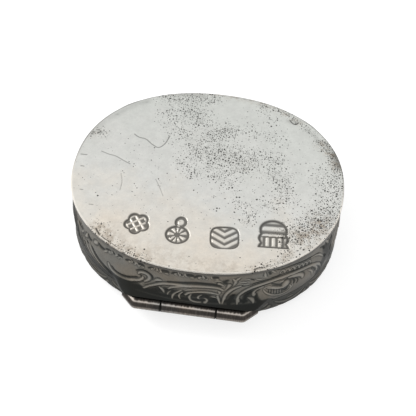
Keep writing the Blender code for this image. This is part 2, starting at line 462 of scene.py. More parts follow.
class Sheet:
    """A flat sheet of metal, in millimetres, with its raised and sunk places."""

    def __init__(self, along, height):
        self.along, self.height = np.meshgrid(along, height)
        self.raised = np.zeros_like(self.along)
        self.sunk = np.zeros_like(self.along)
        self.shaded = np.zeros_like(self.along)

    def closeness(self, line, widths):
        """The part of the sheet near the line, and its distance there in half widths."""
        margin = stroke_reach * widths.max()
        low = line.min(0) - margin
        high = line.max(0) + margin
        columns = np.where((self.along[0] > low[0]) & (self.along[0] < high[0]))[0]
        rows = np.where((self.height[:, 0] > low[1]) & (self.height[:, 0] < high[1]))[0]
        if not len(columns) or not len(rows):
            return None, None
        part = np.ix_(rows, columns)
        along = self.along[part]
        height = self.height[part]
        nearest = np.full(along.shape, stroke_reach * 2.0)
        for start, stop, wide, next_wide in zip(line[:-1], line[1:], widths[:-1], widths[1:]):
            run = stop - start
            length = max(run @ run, 1e-9)
            share = (along - start[0]) * run[0] + (height - start[1]) * run[1]
            share = np.clip(share / length, 0, 1)
            gap_x = along - start[0] - share * run[0]
            gap_y = height - start[1] - share * run[1]
            gap = np.hypot(gap_x, gap_y)
            nearest = np.minimum(nearest, gap / (wide + share * (next_wide - wide)))
        return part, nearest

    def draw(self, kind, stroke_half, points, shift=0.0, mirrored=False):
        """One stroke. Cuts and pools sink the metal, a shade only darkens it."""
        line = smooth_line(points)
        line[:, 0] = line[:, 0] * (-1 if mirrored else 1) + shift
        line[:, 0] -= round(line[:, 0].mean() / all_round) * all_round
        widths = stroke_half * width_shares(kind, len(line))
        for turn in (0, -all_round, all_round):
            part, near = self.closeness(line + np.array((turn, 0)), widths)
            if part is None:
                continue
            crest = np.clip(1 - near**2, 0, 1)
            if kind == "shade":
                self.shaded[part] = np.maximum(self.shaded[part], crest)
            elif kind in dip_softness:
                soft = dip_softness[kind]
                dip = np.clip(soft * (1 - near / soft), 0, 1)
                self.sunk[part] = np.maximum(self.sunk[part], dip)
            else:
                moat = np.exp(-(((near - moat_place) / moat_width) ** 2)) * moat_depth
                self.raised[part] = np.maximum(self.raised[part], crest)
                self.sunk[part] = np.maximum(self.sunk[part], moat)

    def hollow(self):
        """How far each place is sunk, where no line crosses it."""
        return np.clip(self.sunk - self.raised, 0, 1)


print("strokes: line, leaf, drop, cut, pool, shade")

# %% [markdown]
# The strokes were read off the photograph with the wall flattened out. Distance runs to
# the right from the hinge's middle, and height is above the floor. They are grouped by
# what a chaser would call them, so that the sides and the back, which the photograph
# doesn't show, can repeat the same motifs the other way round.

# %% The long scroll over the hinge
long_scroll = [
    ("pool", 0.95, ((-12.5, 3.9), (-9.0, 3.8), (-3.0, 3.7), (3.0, 3.7), (8.0, 3.7), (11.5, 3.6))),
    ("pool", 1.05, ((-8.6, 4.8), (-6.5, 5.2), (-4.2, 6.1), (-1.5, 6.2), (2.0, 6.3), (4.0, 5.7))),
    ("pool", 0.80, ((-9.5, 4.6), (-4.0, 5.0), (1.0, 5.1), (4.5, 5.2), (6.6, 5.2), (8.6, 5.0))),
    ("pool", 0.34, ((-3.4, 8.45), (-1.0, 8.8), (0.5, 9.05), (2.0, 9.1), (3.5, 9.05), (4.6, 8.8))),
    ("line", 0.27, (
        (-7.2, 5.4), (-6.6, 6.1), (-5.5, 7.0), (-4.2, 7.8), (-2.5, 8.2), (-0.5, 8.3),
        (1.5, 8.5), (2.7, 8.55), (3.5, 8.5), (4.3, 8.35), (5.0, 7.9),
    )),
    ("line", 0.21, ((-3.3, 6.9), (-2.8, 7.4), (-2.0, 7.75), (-1.0, 8.02), (0.3, 8.2))),
    ("leaf", 0.14, ((-0.9, 7.0), (-0.4, 7.4), (0.1, 7.55), (0.6, 7.65))),
    ("drop", 0.30, ((-0.6, 6.2), (-0.2, 6.7), (0.4, 6.95), (1.2, 7.2), (2.0, 7.3))),
    ("line", 0.22, ((0.4, 6.95), (1.2, 7.2), (2.0, 7.32), (2.8, 7.32), (3.5, 7.2), (4.3, 6.95))),
    ("leaf", 0.18, ((4.2, 7.8), (4.5, 7.4), (4.4, 6.9))),
    ("line", 0.20, ((-1.3, 7.1), (-1.9, 6.5), (-2.4, 5.9), (-2.6, 5.2), (-2.6, 4.6))),
    ("line", 0.18, ((-1.1, 6.7), (-1.5, 6.1), (-1.6, 5.5), (-1.4, 4.9))),
    ("leaf", 0.13, ((-2.9, 6.5), (-3.3, 5.9), (-3.4, 5.2))),
    ("leaf", 0.30, ((-4.7, 6.9), (-4.2, 6.4), (-3.9, 5.7))),
    ("line", 0.24, ((0.2, 6.4), (0.0, 5.9), (0.0, 5.4), (0.3, 4.9), (1.0, 4.65), (1.8, 4.7))),
    ("drop", 0.34, ((2.4, 4.75), (2.7, 5.2), (2.5, 5.7), (2.0, 5.9))),
    ("leaf", 0.20, ((1.9, 6.6), (1.4, 6.2), (1.3, 5.7), (1.6, 5.4))),
    ("leaf", 0.16, ((2.9, 6.2), (3.6, 6.3), (4.2, 6.0))),
]
print("long scroll:", len(long_scroll), "strokes")

# %% The volute left of it and the dash beside it
left_volute = [
    ("line", 0.30, (
        (-13.6, 7.3), (-13.4, 6.7), (-12.9, 6.1), (-11.9, 5.75), (-10.8, 5.8), (-9.8, 6.05),
        (-8.8, 6.5), (-8.0, 6.9), (-7.5, 7.5), (-7.35, 8.0),
    )),
    ("line", 0.26, (
        (-7.1, 7.1), (-6.6, 7.6), (-6.3, 8.2), (-6.5, 8.8), (-7.1, 9.0), (-7.8, 8.8),
        (-8.1, 8.4),
    )),
    ("pool", 0.30, ((-7.7, 8.2), (-7.5, 7.8))),
    ("cut", 0.21, (
        (-12.9, 7.1), (-12.3, 6.5), (-11.4, 6.3), (-10.4, 6.4), (-9.3, 6.85), (-8.3, 7.5),
    )),
    ("cut", 0.16, ((-8.5, 8.9), (-7.6, 9.45), (-6.6, 9.35), (-5.9, 8.8), (-5.8, 8.1))),
    ("leaf", 0.26, ((-5.6, 8.0), (-4.9, 8.4), (-4.3, 8.5))),
    ("pool", 0.50, ((-13.6, 5.1), (-11.6, 4.9), (-9.4, 5.3))),
]
print("left volute:", len(left_volute), "strokes")

# %% The sweep of plain lines at the left
left_sweep = [
    ("line", 0.20, (
        (-18.2, 8.2), (-17.9, 7.5), (-17.4, 6.8), (-16.5, 5.9), (-15.2, 5.2), (-14.0, 4.8),
    )),
    ("cut", 0.30, (
        (-17.5, 7.7), (-16.7, 6.9), (-15.6, 6.2), (-14.5, 5.7), (-13.2, 5.25), (-12.5, 5.0),
    )),
    ("leaf", 0.36, ((-17.0, 9.1), (-16.5, 9.6), (-16.0, 10.2))),
    ("leaf", 0.30, ((-19.4, 8.4), (-19.0, 8.9), (-18.8, 9.6))),
    ("leaf", 0.24, ((-20.7, 8.2), (-20.3, 8.6), (-20.0, 9.1))),
    ("leaf", 0.20, ((-14.7, 9.1), (-14.2, 9.5), (-13.9, 9.9))),
    ("pool", 0.44, ((-15.9, 9.95), (-15.3, 9.6), (-14.5, 9.55))),
    ("pool", 0.40, ((-18.7, 9.5), (-18.2, 9.0), (-17.7, 9.0))),
    ("pool", 0.24, ((-19.9, 8.0), (-19.2, 7.75), (-18.4, 7.6))),
    ("pool", 0.20, ((-20.2, 6.9), (-19.5, 6.75), (-18.9, 6.5))),
    ("line", 0.16, ((-19.3, 8.0), (-18.9, 7.1), (-18.2, 6.2), (-17.0, 5.4), (-15.8, 4.9))),
    ("line", 0.16, ((-20.4, 7.8), (-20.0, 6.9), (-19.3, 6.0), (-18.2, 5.3), (-17.2, 4.8))),
    ("leaf", 0.20, ((-21.6, 7.7), (-21.3, 6.7), (-20.6, 5.7), (-19.8, 5.0))),
    ("pool", 0.45, ((-22.0, 6.9), (-21.2, 6.3), (-20.7, 5.8))),
    ("pool", 0.34, ((-22.4, 9.2), (-21.6, 9.0), (-20.8, 8.9))),
    ("line", 0.12, ((-22.9, 8.3), (-22.6, 7.1), (-22.1, 5.9), (-21.4, 4.9))),
    ("line", 0.10, ((-19.9, 8.4), (-19.5, 7.5), (-18.9, 6.6), (-18.0, 5.8), (-17.0, 5.2))),
    ("line", 0.10, ((-21.4, 8.1), (-21.0, 7.0), (-20.3, 6.0), (-19.4, 5.2), (-18.4, 4.6))),
    ("cut", 0.12, ((-20.9, 7.9), (-20.4, 6.9), (-19.7, 5.9), (-18.8, 5.2))),
    ("cut", 0.14, ((-22.4, 8.0), (-22.0, 6.8), (-21.4, 5.7), (-20.6, 4.8))),
    ("shade", 2.20, (
        (-26.5, 9.6), (-24.6, 7.6), (-22.6, 5.8), (-20.0, 4.5), (-16.5, 3.8), (-13.0, 4.0),
    )),
    ("line", 0.15, ((-24.6, 10.2), (-24.2, 9.0), (-23.5, 7.8), (-22.6, 6.6), (-21.6, 5.6))),
    ("cut", 0.16, ((-23.8, 10.6), (-23.4, 9.4), (-22.9, 8.4))),
    ("line", 0.14, ((-22.9, 10.6), (-22.4, 9.6), (-21.9, 8.6), (-21.7, 7.7))),
    ("cut", 0.14, ((-20.6, 9.6), (-20.3, 8.7), (-19.8, 7.8))),
    ("pool", 0.24, ((-21.4, 10.3), (-21.0, 9.6))),
    ("cut", 0.20, ((-25.6, 9.2), (-24.4, 7.6), (-23.2, 6.0), (-22.2, 4.8))),
    ("cut", 0.16, ((-24.4, 9.0), (-23.6, 7.6), (-22.6, 6.2))),
    ("shade", 1.20, ((-13.4, 4.5), (-11.4, 4.9), (-9.6, 5.1), (-8.0, 5.6))),
]
print("left sweep:", len(left_sweep), "strokes")

# %% The open flourish right of the long scroll
open_flourish = [
    ("line", 0.22, ((4.2, 6.7), (4.3, 6.1), (4.5, 5.3), (4.7, 4.65))),
    ("line", 0.26, ((5.0, 4.65), (5.2, 5.9), (5.5, 6.9), (6.0, 7.7), (6.7, 8.3), (7.6, 8.7))),
    ("drop", 0.26, ((5.9, 9.0), (5.6, 8.4), (5.1, 7.7))),
    ("drop", 0.22, ((4.3, 9.35), (4.8, 9.1), (5.2, 8.8))),
    ("leaf", 0.18, ((3.5, 9.9), (4.1, 10.0), (4.8, 9.9))),
    ("pool", 0.80, ((5.95, 4.4), (6.25, 5.6), (6.6, 6.5))),
    ("leaf", 0.24, ((6.5, 8.9), (6.8, 9.7), (6.3, 10.6))),
    ("leaf", 0.22, ((6.8, 9.8), (7.1, 10.3), (7.5, 10.8))),
    ("pool", 0.42, ((5.6, 10.1), (5.2, 9.6), (5.5, 9.3))),
    ("leaf", 0.15, ((7.3, 9.6), (8.0, 9.5), (8.8, 9.2))),
    ("leaf", 0.15, ((7.6, 9.1), (8.4, 8.9), (9.4, 8.9))),
    ("leaf", 0.14, ((8.2, 10.2), (8.8, 10.0), (9.1, 9.7))),
    ("pool", 0.24, ((9.2, 10.0), (9.6, 9.7))),
    ("leaf", 0.16, ((9.8, 10.0), (10.3, 9.7), (11.0, 9.6))),
    ("leaf", 0.14, ((10.6, 10.3), (11.4, 9.9), (12.2, 9.7))),
    ("cut", 0.12, ((7.8, 8.6), (9.0, 8.75), (10.5, 9.05), (12.0, 9.2), (14.0, 9.3))),
]
print("open flourish:", len(open_flourish), "strokes")

# %% The C-scroll with its ribbed shell
shell_scroll = [
    ("pool", 0.62, ((8.3, 4.6), (8.5, 6.1), (9.1, 6.9), (10.3, 7.4))),
    ("pool", 0.45, ((10.1, 6.2), (10.2, 5.2), (10.7, 4.3), (11.4, 3.7))),
    ("line", 0.26, (
        (7.3, 4.4), (7.2, 5.5), (7.5, 6.6), (8.3, 7.5), (9.3, 8.05), (10.6, 8.4),
        (12.0, 8.6), (13.5, 8.7), (15.5, 8.65), (17.5, 8.4), (19.0, 8.1), (20.2, 7.7),
        (21.2, 7.1), (21.9, 6.4), (22.4, 5.4), (22.8, 4.4),
    )),
    ("drop", 0.36, ((7.4, 5.1), (7.3, 5.8), (7.5, 6.5))),
    ("cut", 0.12, ((8.3, 7.0), (9.3, 7.6), (10.6, 8.0), (12.2, 8.25), (14.0, 8.35))),
    ("cut", 0.05, ((8.9, 8.4), (10.4, 8.8), (12.2, 9.0), (14.5, 9.1), (17.0, 8.9), (19.4, 8.5))),
    ("drop", 0.30, ((9.75, 6.3), (9.6, 6.8), (9.9, 7.3), (10.5, 7.65), (11.2, 7.9))),
    ("leaf", 0.30, ((8.75, 5.9), (9.35, 5.5), (9.7, 4.9), (9.8, 4.2))),
    ("line", 0.13, ((11.1, 7.2), (11.4, 7.45), (11.9, 7.6), (12.5, 7.55))),
    ("line", 0.17, (
        (11.2, 7.0), (11.6, 6.3), (12.2, 5.6), (12.9, 5.0), (13.8, 4.6), (14.8, 4.5),
        (15.6, 4.8), (16.1, 5.4), (16.3, 6.1),
    )),
    ("pool", 0.22, ((12.5, 8.0), (13.2, 7.6), (13.8, 7.2), (14.1, 7.0))),
    ("line", 0.29, ((11.9, 7.3), (12.6, 7.1), (13.3, 6.7), (14.0, 6.45), (14.6, 6.3))),
    ("leaf", 0.58, ((14.4, 6.3), (14.9, 6.9), (15.05, 7.5))),
    ("leaf", 0.18, ((13.6, 7.9), (14.2, 7.8), (14.6, 7.9))),
    ("cut", 0.18, ((15.1, 8.0), (15.8, 7.75), (16.3, 7.2), (16.5, 6.5), (16.3, 5.9))),
    ("pool", 0.32, ((14.5, 5.7), (15.0, 5.4), (15.3, 5.8))),
    ("leaf", 0.15, ((15.6, 6.2), (15.9, 5.8), (15.8, 5.2))),
    ("line", 0.34, ((15.4, 8.05), (16.3, 7.95), (17.2, 7.65), (17.9, 7.1), (18.1, 6.4))),
    ("cut", 0.12, ((16.6, 7.3), (17.0, 6.9), (17.2, 6.3), (17.0, 5.8))),
    ("line", 0.16, ((19.2, 7.3), (19.9, 6.6), (20.3, 5.7), (20.4, 4.9))),
    ("line", 0.18, ((20.3, 7.4), (21.0, 6.7), (21.4, 5.8), (21.6, 5.0))),
    ("cut", 0.13, ((19.9, 7.2), (20.6, 6.5), (20.9, 5.6))),
    ("pool", 0.40, ((23.0, 7.6), (23.4, 7.0))),
    ("leaf", 0.26, ((23.3, 10.6), (24.0, 9.7), (24.5, 8.9))),
    ("shade", 0.80, ((10.6, 3.6), (11.8, 3.8), (12.8, 3.6))),
    ("shade", 1.50, ((25.2, 9.4), (24.2, 7.4), (23.2, 5.6), (22.0, 4.0))),
]
rib_half = 0.14
rib_tops = (
    (12.00, 7.05), (12.45, 6.90), (12.90, 6.70), (13.35, 6.45), (13.80, 6.25), (14.25, 6.10),
)
rib_feet = (
    (12.05, 6.10), (12.50, 5.70), (13.00, 5.35), (13.50, 5.05), (14.00, 4.90), (14.50, 4.85),
)
for rib_top, rib_foot in zip(rib_tops, rib_feet):
    shell_scroll.append(("cut", rib_half, (rib_top, rib_foot)))
print("shell scroll:", len(shell_scroll), "strokes")

# %% The ruffle of small shells under the base
ruffle_line = (
    (-13.6, 10.05), (-12.4, 10.25), (-10.6, 10.40), (-8.6, 10.50), (-6.0, 10.60), (-3.0, 10.65),
    (0.0, 10.60), (2.6, 10.60), (4.6, 10.55),
)
ruffle_motifs = (
    (
        ("pool", 0.33, ((-0.50, -0.15), (-0.10, 0.10), (0.20, 0.30))),
        ("line", 0.14, ((0.45, -0.35), (0.15, -0.35), (0.05, -0.12), (0.25, 0.02), (0.42, -0.08))),
        ("line", 0.12, ((0.55, 0.45), (0.66, 0.15), (0.58, -0.12))),
    ),
    (
        ("pool", 0.38, ((-0.35, 0.05), (0.10, 0.18), (0.50, 0.10))),
        ("line", 0.13, ((-0.62, 0.35), (-0.52, -0.05), (-0.30, -0.32))),
        ("leaf", 0.16, ((0.05, -0.42), (0.35, -0.30), (0.62, -0.36))),
    ),
    (
        ("pool", 0.27, ((-0.45, 0.30), (-0.30, -0.10))),
        ("line", 0.13, ((-0.12, -0.42), (0.12, -0.10), (0.05, 0.25))),
        ("pool", 0.28, ((0.32, 0.25), (0.46, -0.15))),
        ("line", 0.12, ((0.30, -0.48), (0.55, -0.40), (0.72, -0.12))),
    ),
)
ruffle_step = 1.22
ruffle_wander, wander_pace = 0.22, 2.3
ruffle_rise, rise_pace = 0.06, 3.7
ruffle_growth, growth_pace = 0.16, 1.7
ruffle_start = ruffle_line[0][0]
ruffle_shells = int((ruffle_line[-1][0] - ruffle_start) / ruffle_step) + 1
ruffle_path = smooth_line(ruffle_line)
left_ruffle = []
for index in range(ruffle_shells):
    wander = ruffle_wander * math.sin(wander_pace * index)
    motif_x = ruffle_start + ruffle_step * (index + wander)
    motif_z = np.interp(motif_x, ruffle_path[:, 0], ruffle_path[:, 1])
    motif_z += ruffle_rise * math.sin(rise_pace * index)
    grown = 1 + ruffle_growth * math.sin(growth_pace * index + 1)
    for kind, stroke_half, points in ruffle_motifs[index * 5 % 3]:
        moved = [(motif_x + x * grown, motif_z + z * grown) for x, z in points]
        left_ruffle.append((kind, stroke_half * grown, moved))
print("left ruffle:", ruffle_shells, "small shells")

# %% The row of scales at the right
scale_arch = ((-0.40, -0.36), (-0.30, 0.08), (0.02, 0.26), (0.30, 0.02), (0.34, -0.44))
scale_places = (
    (14.15, 10.10), (15.05, 9.95), (15.95, 9.85), (16.85, 9.65), (17.70, 9.45), (18.50, 9.25),
    (19.25, 9.05),
)
right_ruffle = [
    ("leaf", 0.20, ((11.2, 11.2), (11.3, 10.4), (11.5, 9.7))),
    ("pool", 0.40, ((11.95, 10.9), (12.15, 10.4))),
    ("leaf", 0.15, ((12.1, 11.3), (12.6, 10.8), (13.2, 10.2))),
    ("pool", 0.22, ((13.0, 11.1), (13.6, 10.8))),
    ("cut", 0.17, ((13.8, 10.75), (16.0, 10.60), (18.0, 10.15), (19.8, 9.75), (21.6, 9.2))),
    ("cut", 0.11, ((12.4, 9.40), (14.5, 9.40), (16.5, 9.10), (18.3, 8.80), (20.0, 8.35))),
    ("line", 0.17, ((19.8, 9.6), (20.8, 9.4), (21.6, 8.9), (22.2, 8.3), (22.7, 7.6))),
    ("pool", 0.26, ((21.8, 10.3), (22.6, 9.8), (23.0, 9.1))),
]
inner_width = 0.4
inner_height = 0.5
inner_drop = 0.1
scale_line = 0.14
scale_cut = 0.10
for scale_x, scale_z in scale_places:
    outer = [(scale_x + x, scale_z + z) for x, z in scale_arch]
    inner = [
        (scale_x + inner_width * x, scale_z - inner_drop + inner_height * z) for x, z in scale_arch
    ]
    right_ruffle += [("line", scale_line, outer), ("cut", scale_cut, inner)]
all_groups = [
    long_scroll, left_volute, left_sweep, open_flourish, shell_scroll, left_ruffle,
    right_ruffle,
]
print("strokes in the ornament:", sum(len(group) for group in all_groups))

# %% [markdown]
# A flat grid is added, bent round the oval and pushed in and out by the strokes. The
# front ornament is drawn where the photograph shows it, then again round the back, with
# the shell scroll turned round to fill the two ends. Grooves go in further than lines
# stand out, so the wall keeps its true width.

# %% Values and points of a mesh


def store_value(mesh, name, values):
    layer = mesh.attributes.get(name) or mesh.attributes.new(name, "FLOAT", "POINT")
    layer.data.foreach_set("value", np.asarray(values, np.float32))


def read_value(mesh, name):
    values = np.empty(len(mesh.vertices), np.float32)
    mesh.attributes[name].data.foreach_get("value", values)
    return values


def read_points(mesh):
    places = np.empty(len(mesh.vertices) * 3)
    mesh.vertices.foreach_get("co", places)
    return places.reshape(-1, 3)


def write_points(mesh, places):
    mesh.vertices.foreach_set("co", np.asarray(places, np.float32).ravel())
    mesh.update()


print("meshes give and take their points as rows of x, y, z")

# %% Bend a sheet round the oval


def blur(values):
    """A light smoothing over the neighbours. The last column is the first one again."""
    ring = values[:, :-1]
    ring = (np.roll(ring, 1, 1) + 2 * ring + np.roll(ring, -1, 1)) / 4
    padded = np.pad(ring, ((1, 1), (0, 0)), "edge")
    ring = (padded[:-2] + 2 * padded[1:-1] + padded[2:]) / 4
    return np.concatenate([ring, ring[:, :1]], 1)


def read_sheet(values, along_share, height_share):
    """Takes a sheet's values at the places of the mesh's points."""
    rows, columns = values.shape
    row = np.rint(height_share * (rows - 1)).astype(int)
    column = np.rint(along_share * (columns - 1)).astype(int) % (columns - 1)
    return values[row, column]


def bent_sheet(name, columns, rows, profile, shape):
    """A grid bent round the oval. Profile gives offset and height, shape the relief."""
    pick_nothing()
    bpy.ops.mesh.primitive_grid_add(x_subdivisions=columns, y_subdivisions=rows, size=1)
    piece = bpy.context.object
    piece.name = name
    piece.data.name = name
    flat = read_points(piece.data)
    along_share = flat[:, 0] + 0.5
    height_share = flat[:, 1] + 0.5
    relief, tone = shape
    lift = read_sheet(relief, along_share, height_share)
    offset, height, out, down = profile(height_share)
    x, y = oval_place(angle_at((along_share - 0.5) * girth), offset + out * lift)
    write_points(piece.data, np.stack([x, y, height + down * lift], 1))
    store_value(piece.data, "tone", read_sheet(tone, along_share, height_share))
    store_value(piece.data, "along", along_share)
    return piece


print("a sheet bends round", round(girth / mm, 2), "mm")

# %% Draw the ornament on the wall's sheet
wall_columns = 1240
wall_rows = 74
turned_shifts = (48.5, -19.5)
plate_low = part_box("body_mouth_plate")[0]
skirt_gap = 0.01 * mm
neck_z = 10.75
neck_inset = 0.30 * mm
wall_base_z = wall_high.z / mm
wall_mouth_z = (plate_low.z + skirt_gap) / mm
sheet_along = np.linspace(-girth / 2, girth / 2, wall_columns + 1) / mm
sheet_height = np.linspace(wall_base_z, wall_mouth_z, wall_rows + 1)
wall_sheet = Sheet(sheet_along, sheet_height)
half_round = all_round / 2
for group in all_groups:
    for kind, stroke_half, points in group:
        wall_sheet.draw(kind, stroke_half, points)
        wall_sheet.draw(kind, stroke_half, points, shift=half_round)
for kind, stroke_half, points in shell_scroll + right_ruffle:
    for shift in turned_shifts:
        wall_sheet.draw(kind, stroke_half, points, shift=shift, mirrored=True)
print("wall sheet:", wall_sheet.raised.shape, "points")

# %% [markdown]
# Over the hinge, the wall's skirt sweeps out across the lug to the tube's crown. The
# sheet could be cut by a boolean with the tube, but that would break up its even grid.
# So its points are moved along one curve from the wall to the crown, and the ornament
# is lowered with them.

# %% The flare over the hinge
flare_curve = 1.6
barrel_low, barrel_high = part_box("centre_knuckle")
barrel_radius = (barrel_high.z - barrel_low.z) / 2
axis_y = (barrel_high.y + barrel_low.y) / 2
axis_z = (barrel_high.z + barrel_low.z) / 2
turning_gap = 0.08 * mm
crown_z = axis_z + barrel_radius + turning_gap
lug_flare_top = 6.5 * mm
lug_corner_x = 9.0 * mm
lug_foot_x = 12.8 * mm
ornament_drop = 1.19


def flared_y(x, y, z):
    """The wall's y where its skirt sweeps out over the lug to the hinge's crown."""
    side = np.clip((lug_foot_x - np.abs(x)) / (lug_foot_x - lug_corner_x), 0, 1)
    side = side * side * (3 - 2 * side)
    share = np.clip((lug_flare_top - z) / (lug_flare_top - crown_z), 0, 1) ** flare_curve
    return np.where(y < 0, y + np.minimum(axis_y - y, 0) * share * side, y)


def lower_over_lug(values):
    """Lets the ornament run on down the flare, as the photograph shows it."""
    height = wall_sheet.height * mm
    x, y = oval_place(angle_at(wall_sheet.along * mm), 0)
    asked = height - ornament_drop * (y - flared_y(x, y, height))
    step = (wall_base_z - wall_mouth_z) * mm / wall_rows
    row = np.clip((wall_base_z * mm - asked) / step, 0, wall_rows)
    upper = np.floor(row).astype(int)
    lower = np.minimum(upper + 1, wall_rows)
    column = np.arange(values.shape[1])[None, :]
    return values[upper, column] * (1 - row + upper) + values[lower, column] * (row - upper)


print("hinge axis at y", round(axis_y / mm, 2), "and z", round(axis_z / mm, 2), "mm")

# %% The fine stipple of worn metal
stipple_size = 0.35


def stipple(sheet, size):
    """Fine uneven noise from -1 to 1 over the sheet, the same at both ends."""
    turn = sheet.along / half_round * math.pi
    ring = half_round / math.pi / size
    rows, columns = sheet.along.shape
    values = np.empty((rows, columns))
    for row in range(rows):
        up = sheet.height[row, 0] / size
        for column in range(columns):
            angle = turn[row, column]
            values[row, column] = noise.noise((math.cos(angle) * ring, math.sin(angle) * ring, up))
    return values


grain = stipple(wall_sheet, stipple_size)
print("stipple from", round(grain.min(), 2), "to", round(grain.max(), 2))

# %% Relief and tone of the wall, with its painted shade
line_rise = 0.075 * mm
groove_depth = 0.13 * mm
stipple_depth = 0.016 * mm
stipple_on_plain = 0.35
plain_tone = 0.5
line_tone = 0.26
groove_tone = 0.44
shade_tone = 0.42
left_end_shade = 0.16
right_end_shade = 0.05
mouth_shade = 0.12
neck_shade = 0.28
shade_from_z = 6.6
shade_reach = 2.4
hollow = wall_sheet.hollow()
wall_lift = line_rise * wall_sheet.raised - groove_depth * hollow
wall_lift = blur(wall_lift) + stipple_depth * grain * (stipple_on_plain + hollow)
wall_tone = plain_tone + line_tone * wall_sheet.raised
wall_tone = wall_tone - groove_tone * hollow - shade_tone * wall_sheet.shaded
# Painted shade: the tone is darker towards the oval's two ends, towards the mouth and just under
# the base's edge.
ends = np.clip(-np.cos(wall_sheet.along * 2 * math.pi / half_round), 0, 1)
ends *= np.where(wall_sheet.along > 0, right_end_shade, left_end_shade)
shade_near_mouth = np.clip((shade_from_z - wall_sheet.height) / shade_reach, 0, 1)
shade_under_base = np.clip((wall_sheet.height - neck_z) / (wall_base_z - neck_z), 0, 1)
wall_tone -= ends + mouth_shade * shade_near_mouth + neck_shade * shade_under_base**2
wall_lift, wall_tone = lower_over_lug(wall_lift), lower_over_lug(wall_tone)
deepest, highest = wall_lift.min() / mm, wall_lift.max() / mm
print("wall relief from", round(deepest, 3), "to", round(highest, 3), "mm")

# %% The wall's profile
middle_gap = 0.01 * mm
wall_inner_limit = -0.25 * mm
mouth_reach = 0.12 * mm
plain_skirt_z = 5 * mm
neck_curve = 1.5


def outer_line(node, inner_limit):
    """The node's outer line at the end of the oval: heights, and reach beyond it."""
    points = {}
    for vertex in frame["nodes"][node].data.vertices:
        reach = vertex.co.x - half_length
        if abs(vertex.co.y) < middle_gap and reach > inner_limit:
            points[round(vertex.co.z, 7)] = reach
    heights = np.array(sorted(points))
    return heights, np.array([points[height] for height in heights])


wall_heights, wall_reaches = outer_line("body_wall", wall_inner_limit)
full_wall = wall_heights > plain_skirt_z
wall_heights = np.concatenate([[wall_mouth_z * mm], wall_heights[full_wall]])
wall_reaches = np.concatenate([[mouth_reach], wall_reaches[full_wall]])


def wall_profile(height_share):
    """Row 0 is under the base, and the last row is the skirt's edge at the mouth."""
    height = (wall_base_z + (wall_mouth_z - wall_base_z) * height_share) * mm
    offset = np.interp(height, wall_heights, wall_reaches)
    neck = np.clip((height / mm - neck_z) / (wall_base_z - neck_z), 0, 1)
    offset = offset - neck_inset * neck**neck_curve
    return offset, height, np.ones_like(height), np.zeros_like(height)


print("wall profile read at", len(wall_heights), "heights")

# %% [markdown]
# A bent sheet has no thickness yet. A Solidify modifier would fold over itself in the
# narrow grooves. Both rims are folded inwards instead and joined behind, which gives a
# closed wall with a smooth inside.

# %% Close a bent sheet into a wall
inside_tone = 0.85
seam_gap = 0.002 * mm


def close_sheet(piece, top_inner, foot_inner):
    """Folds both rims inwards and joins them, so that the sheet becomes a solid wall."""
    bpy.ops.object.mode_set(mode="EDIT")
    bpy.ops.mesh.select_all(action="SELECT")
    bpy.ops.mesh.remove_doubles(threshold=seam_gap)
    bpy.ops.mesh.select_all(action="DESELECT")
    bpy.ops.mesh.select_non_manifold()
    bpy.ops.mesh.extrude_region()
    bpy.ops.object.mode_set(mode="OBJECT")
    mesh = piece.data
    places = read_points(mesh)
    picked = np.empty(len(mesh.vertices), bool)
    mesh.vertices.foreach_get("select", picked)
    distance = (read_value(mesh, "along")[picked].astype(float) - 0.5) * girth
    heights = places[picked, 2]
    middle = (heights.max() + heights.min()) / 2
    inner = np.where(heights > middle, top_inner, foot_inner)
    x, y = oval_place(angle_at(distance), inner)
    places[picked, 0] = x
    places[picked, 1] = y
    write_points(mesh, places)
    store_value(mesh, "tone", np.where(picked, inside_tone, read_value(mesh, "tone")))
    bpy.ops.object.mode_set(mode="EDIT")
    bpy.ops.mesh.bridge_edge_loops()
    bpy.ops.mesh.select_all(action="SELECT")
    bpy.ops.mesh.normals_make_consistent(inside=False)
    bpy.ops.object.mode_set(mode="OBJECT")
    print(piece.name, "is closed, with", len(mesh.polygons), "faces")


print("points closer than", round(seam_gap / mm, 3), "mm are joined")

# %% Room for the barrel
lug_end_gap = 0.6 * mm


def fit_to_hinge(piece, flare):
    """Sweeps the sheet out over the lug, and hollows it where the barrel turns."""
    places = read_points(piece.data)
    x, y, z = places.T
    if flare:
        y = flared_y(x, y, z)
    room = (barrel_radius + turning_gap) ** 2 - (z - axis_z) ** 2
    barrel_y = axis_y + np.sqrt(np.maximum(room, 0))
    inside = (y < 0) & (room > 0) & (np.abs(x) < lug_foot_x - lug_end_gap)
    places[:, 1] = np.where(inside, np.maximum(y, barrel_y), y)
    write_points(piece.data, places)
    print(piece.name, "is hollowed for the barrel at", inside.sum(), "points")


print("the barrel turns in a round of", round((barrel_radius + turning_gap) / mm, 2), "mm")

# %% Finish a piece
sharp_edge = math.radians(40)


def finish_piece(piece, body, material, nodes):
    """Smooths the piece, gives it its silver and its body, and hides the nodes it stands for."""
    pick(piece)
    bpy.ops.object.transform_apply(location=True, rotation=True, scale=True)
    bpy.ops.object.shade_smooth_by_angle(angle=sharp_edge)
    piece.data.materials.clear()
    piece.data.materials.append(material)
    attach(piece, body)
    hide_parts(*nodes)
    faces = sum(len(face.vertices) - 2 for face in piece.data.polygons)
    print(piece.name, "has", faces, "triangles")


print("a piece is smooth up to", round(math.degrees(sharp_edge)), "degrees")

# %% The wall
wall_thickness = 0.5 * mm
wall = bent_sheet("chased_wall", wall_columns, wall_rows, wall_profile, (wall_lift, wall_tone))
fit_to_hinge(wall, True)
close_sheet(wall, -wall_thickness - neck_inset / 2, -wall_thickness)
finish_piece(wall, "box_body", wall_silver, ["body_wall"])

# %% [markdown]
# The lid's rim carries on from the wall under a hairline seam: a short flare, then a
# quarter round in to the lid's face. It takes the same kind of scrollwork, smaller, with
# one motif repeated round it, because the photograph shows only its dark edge.

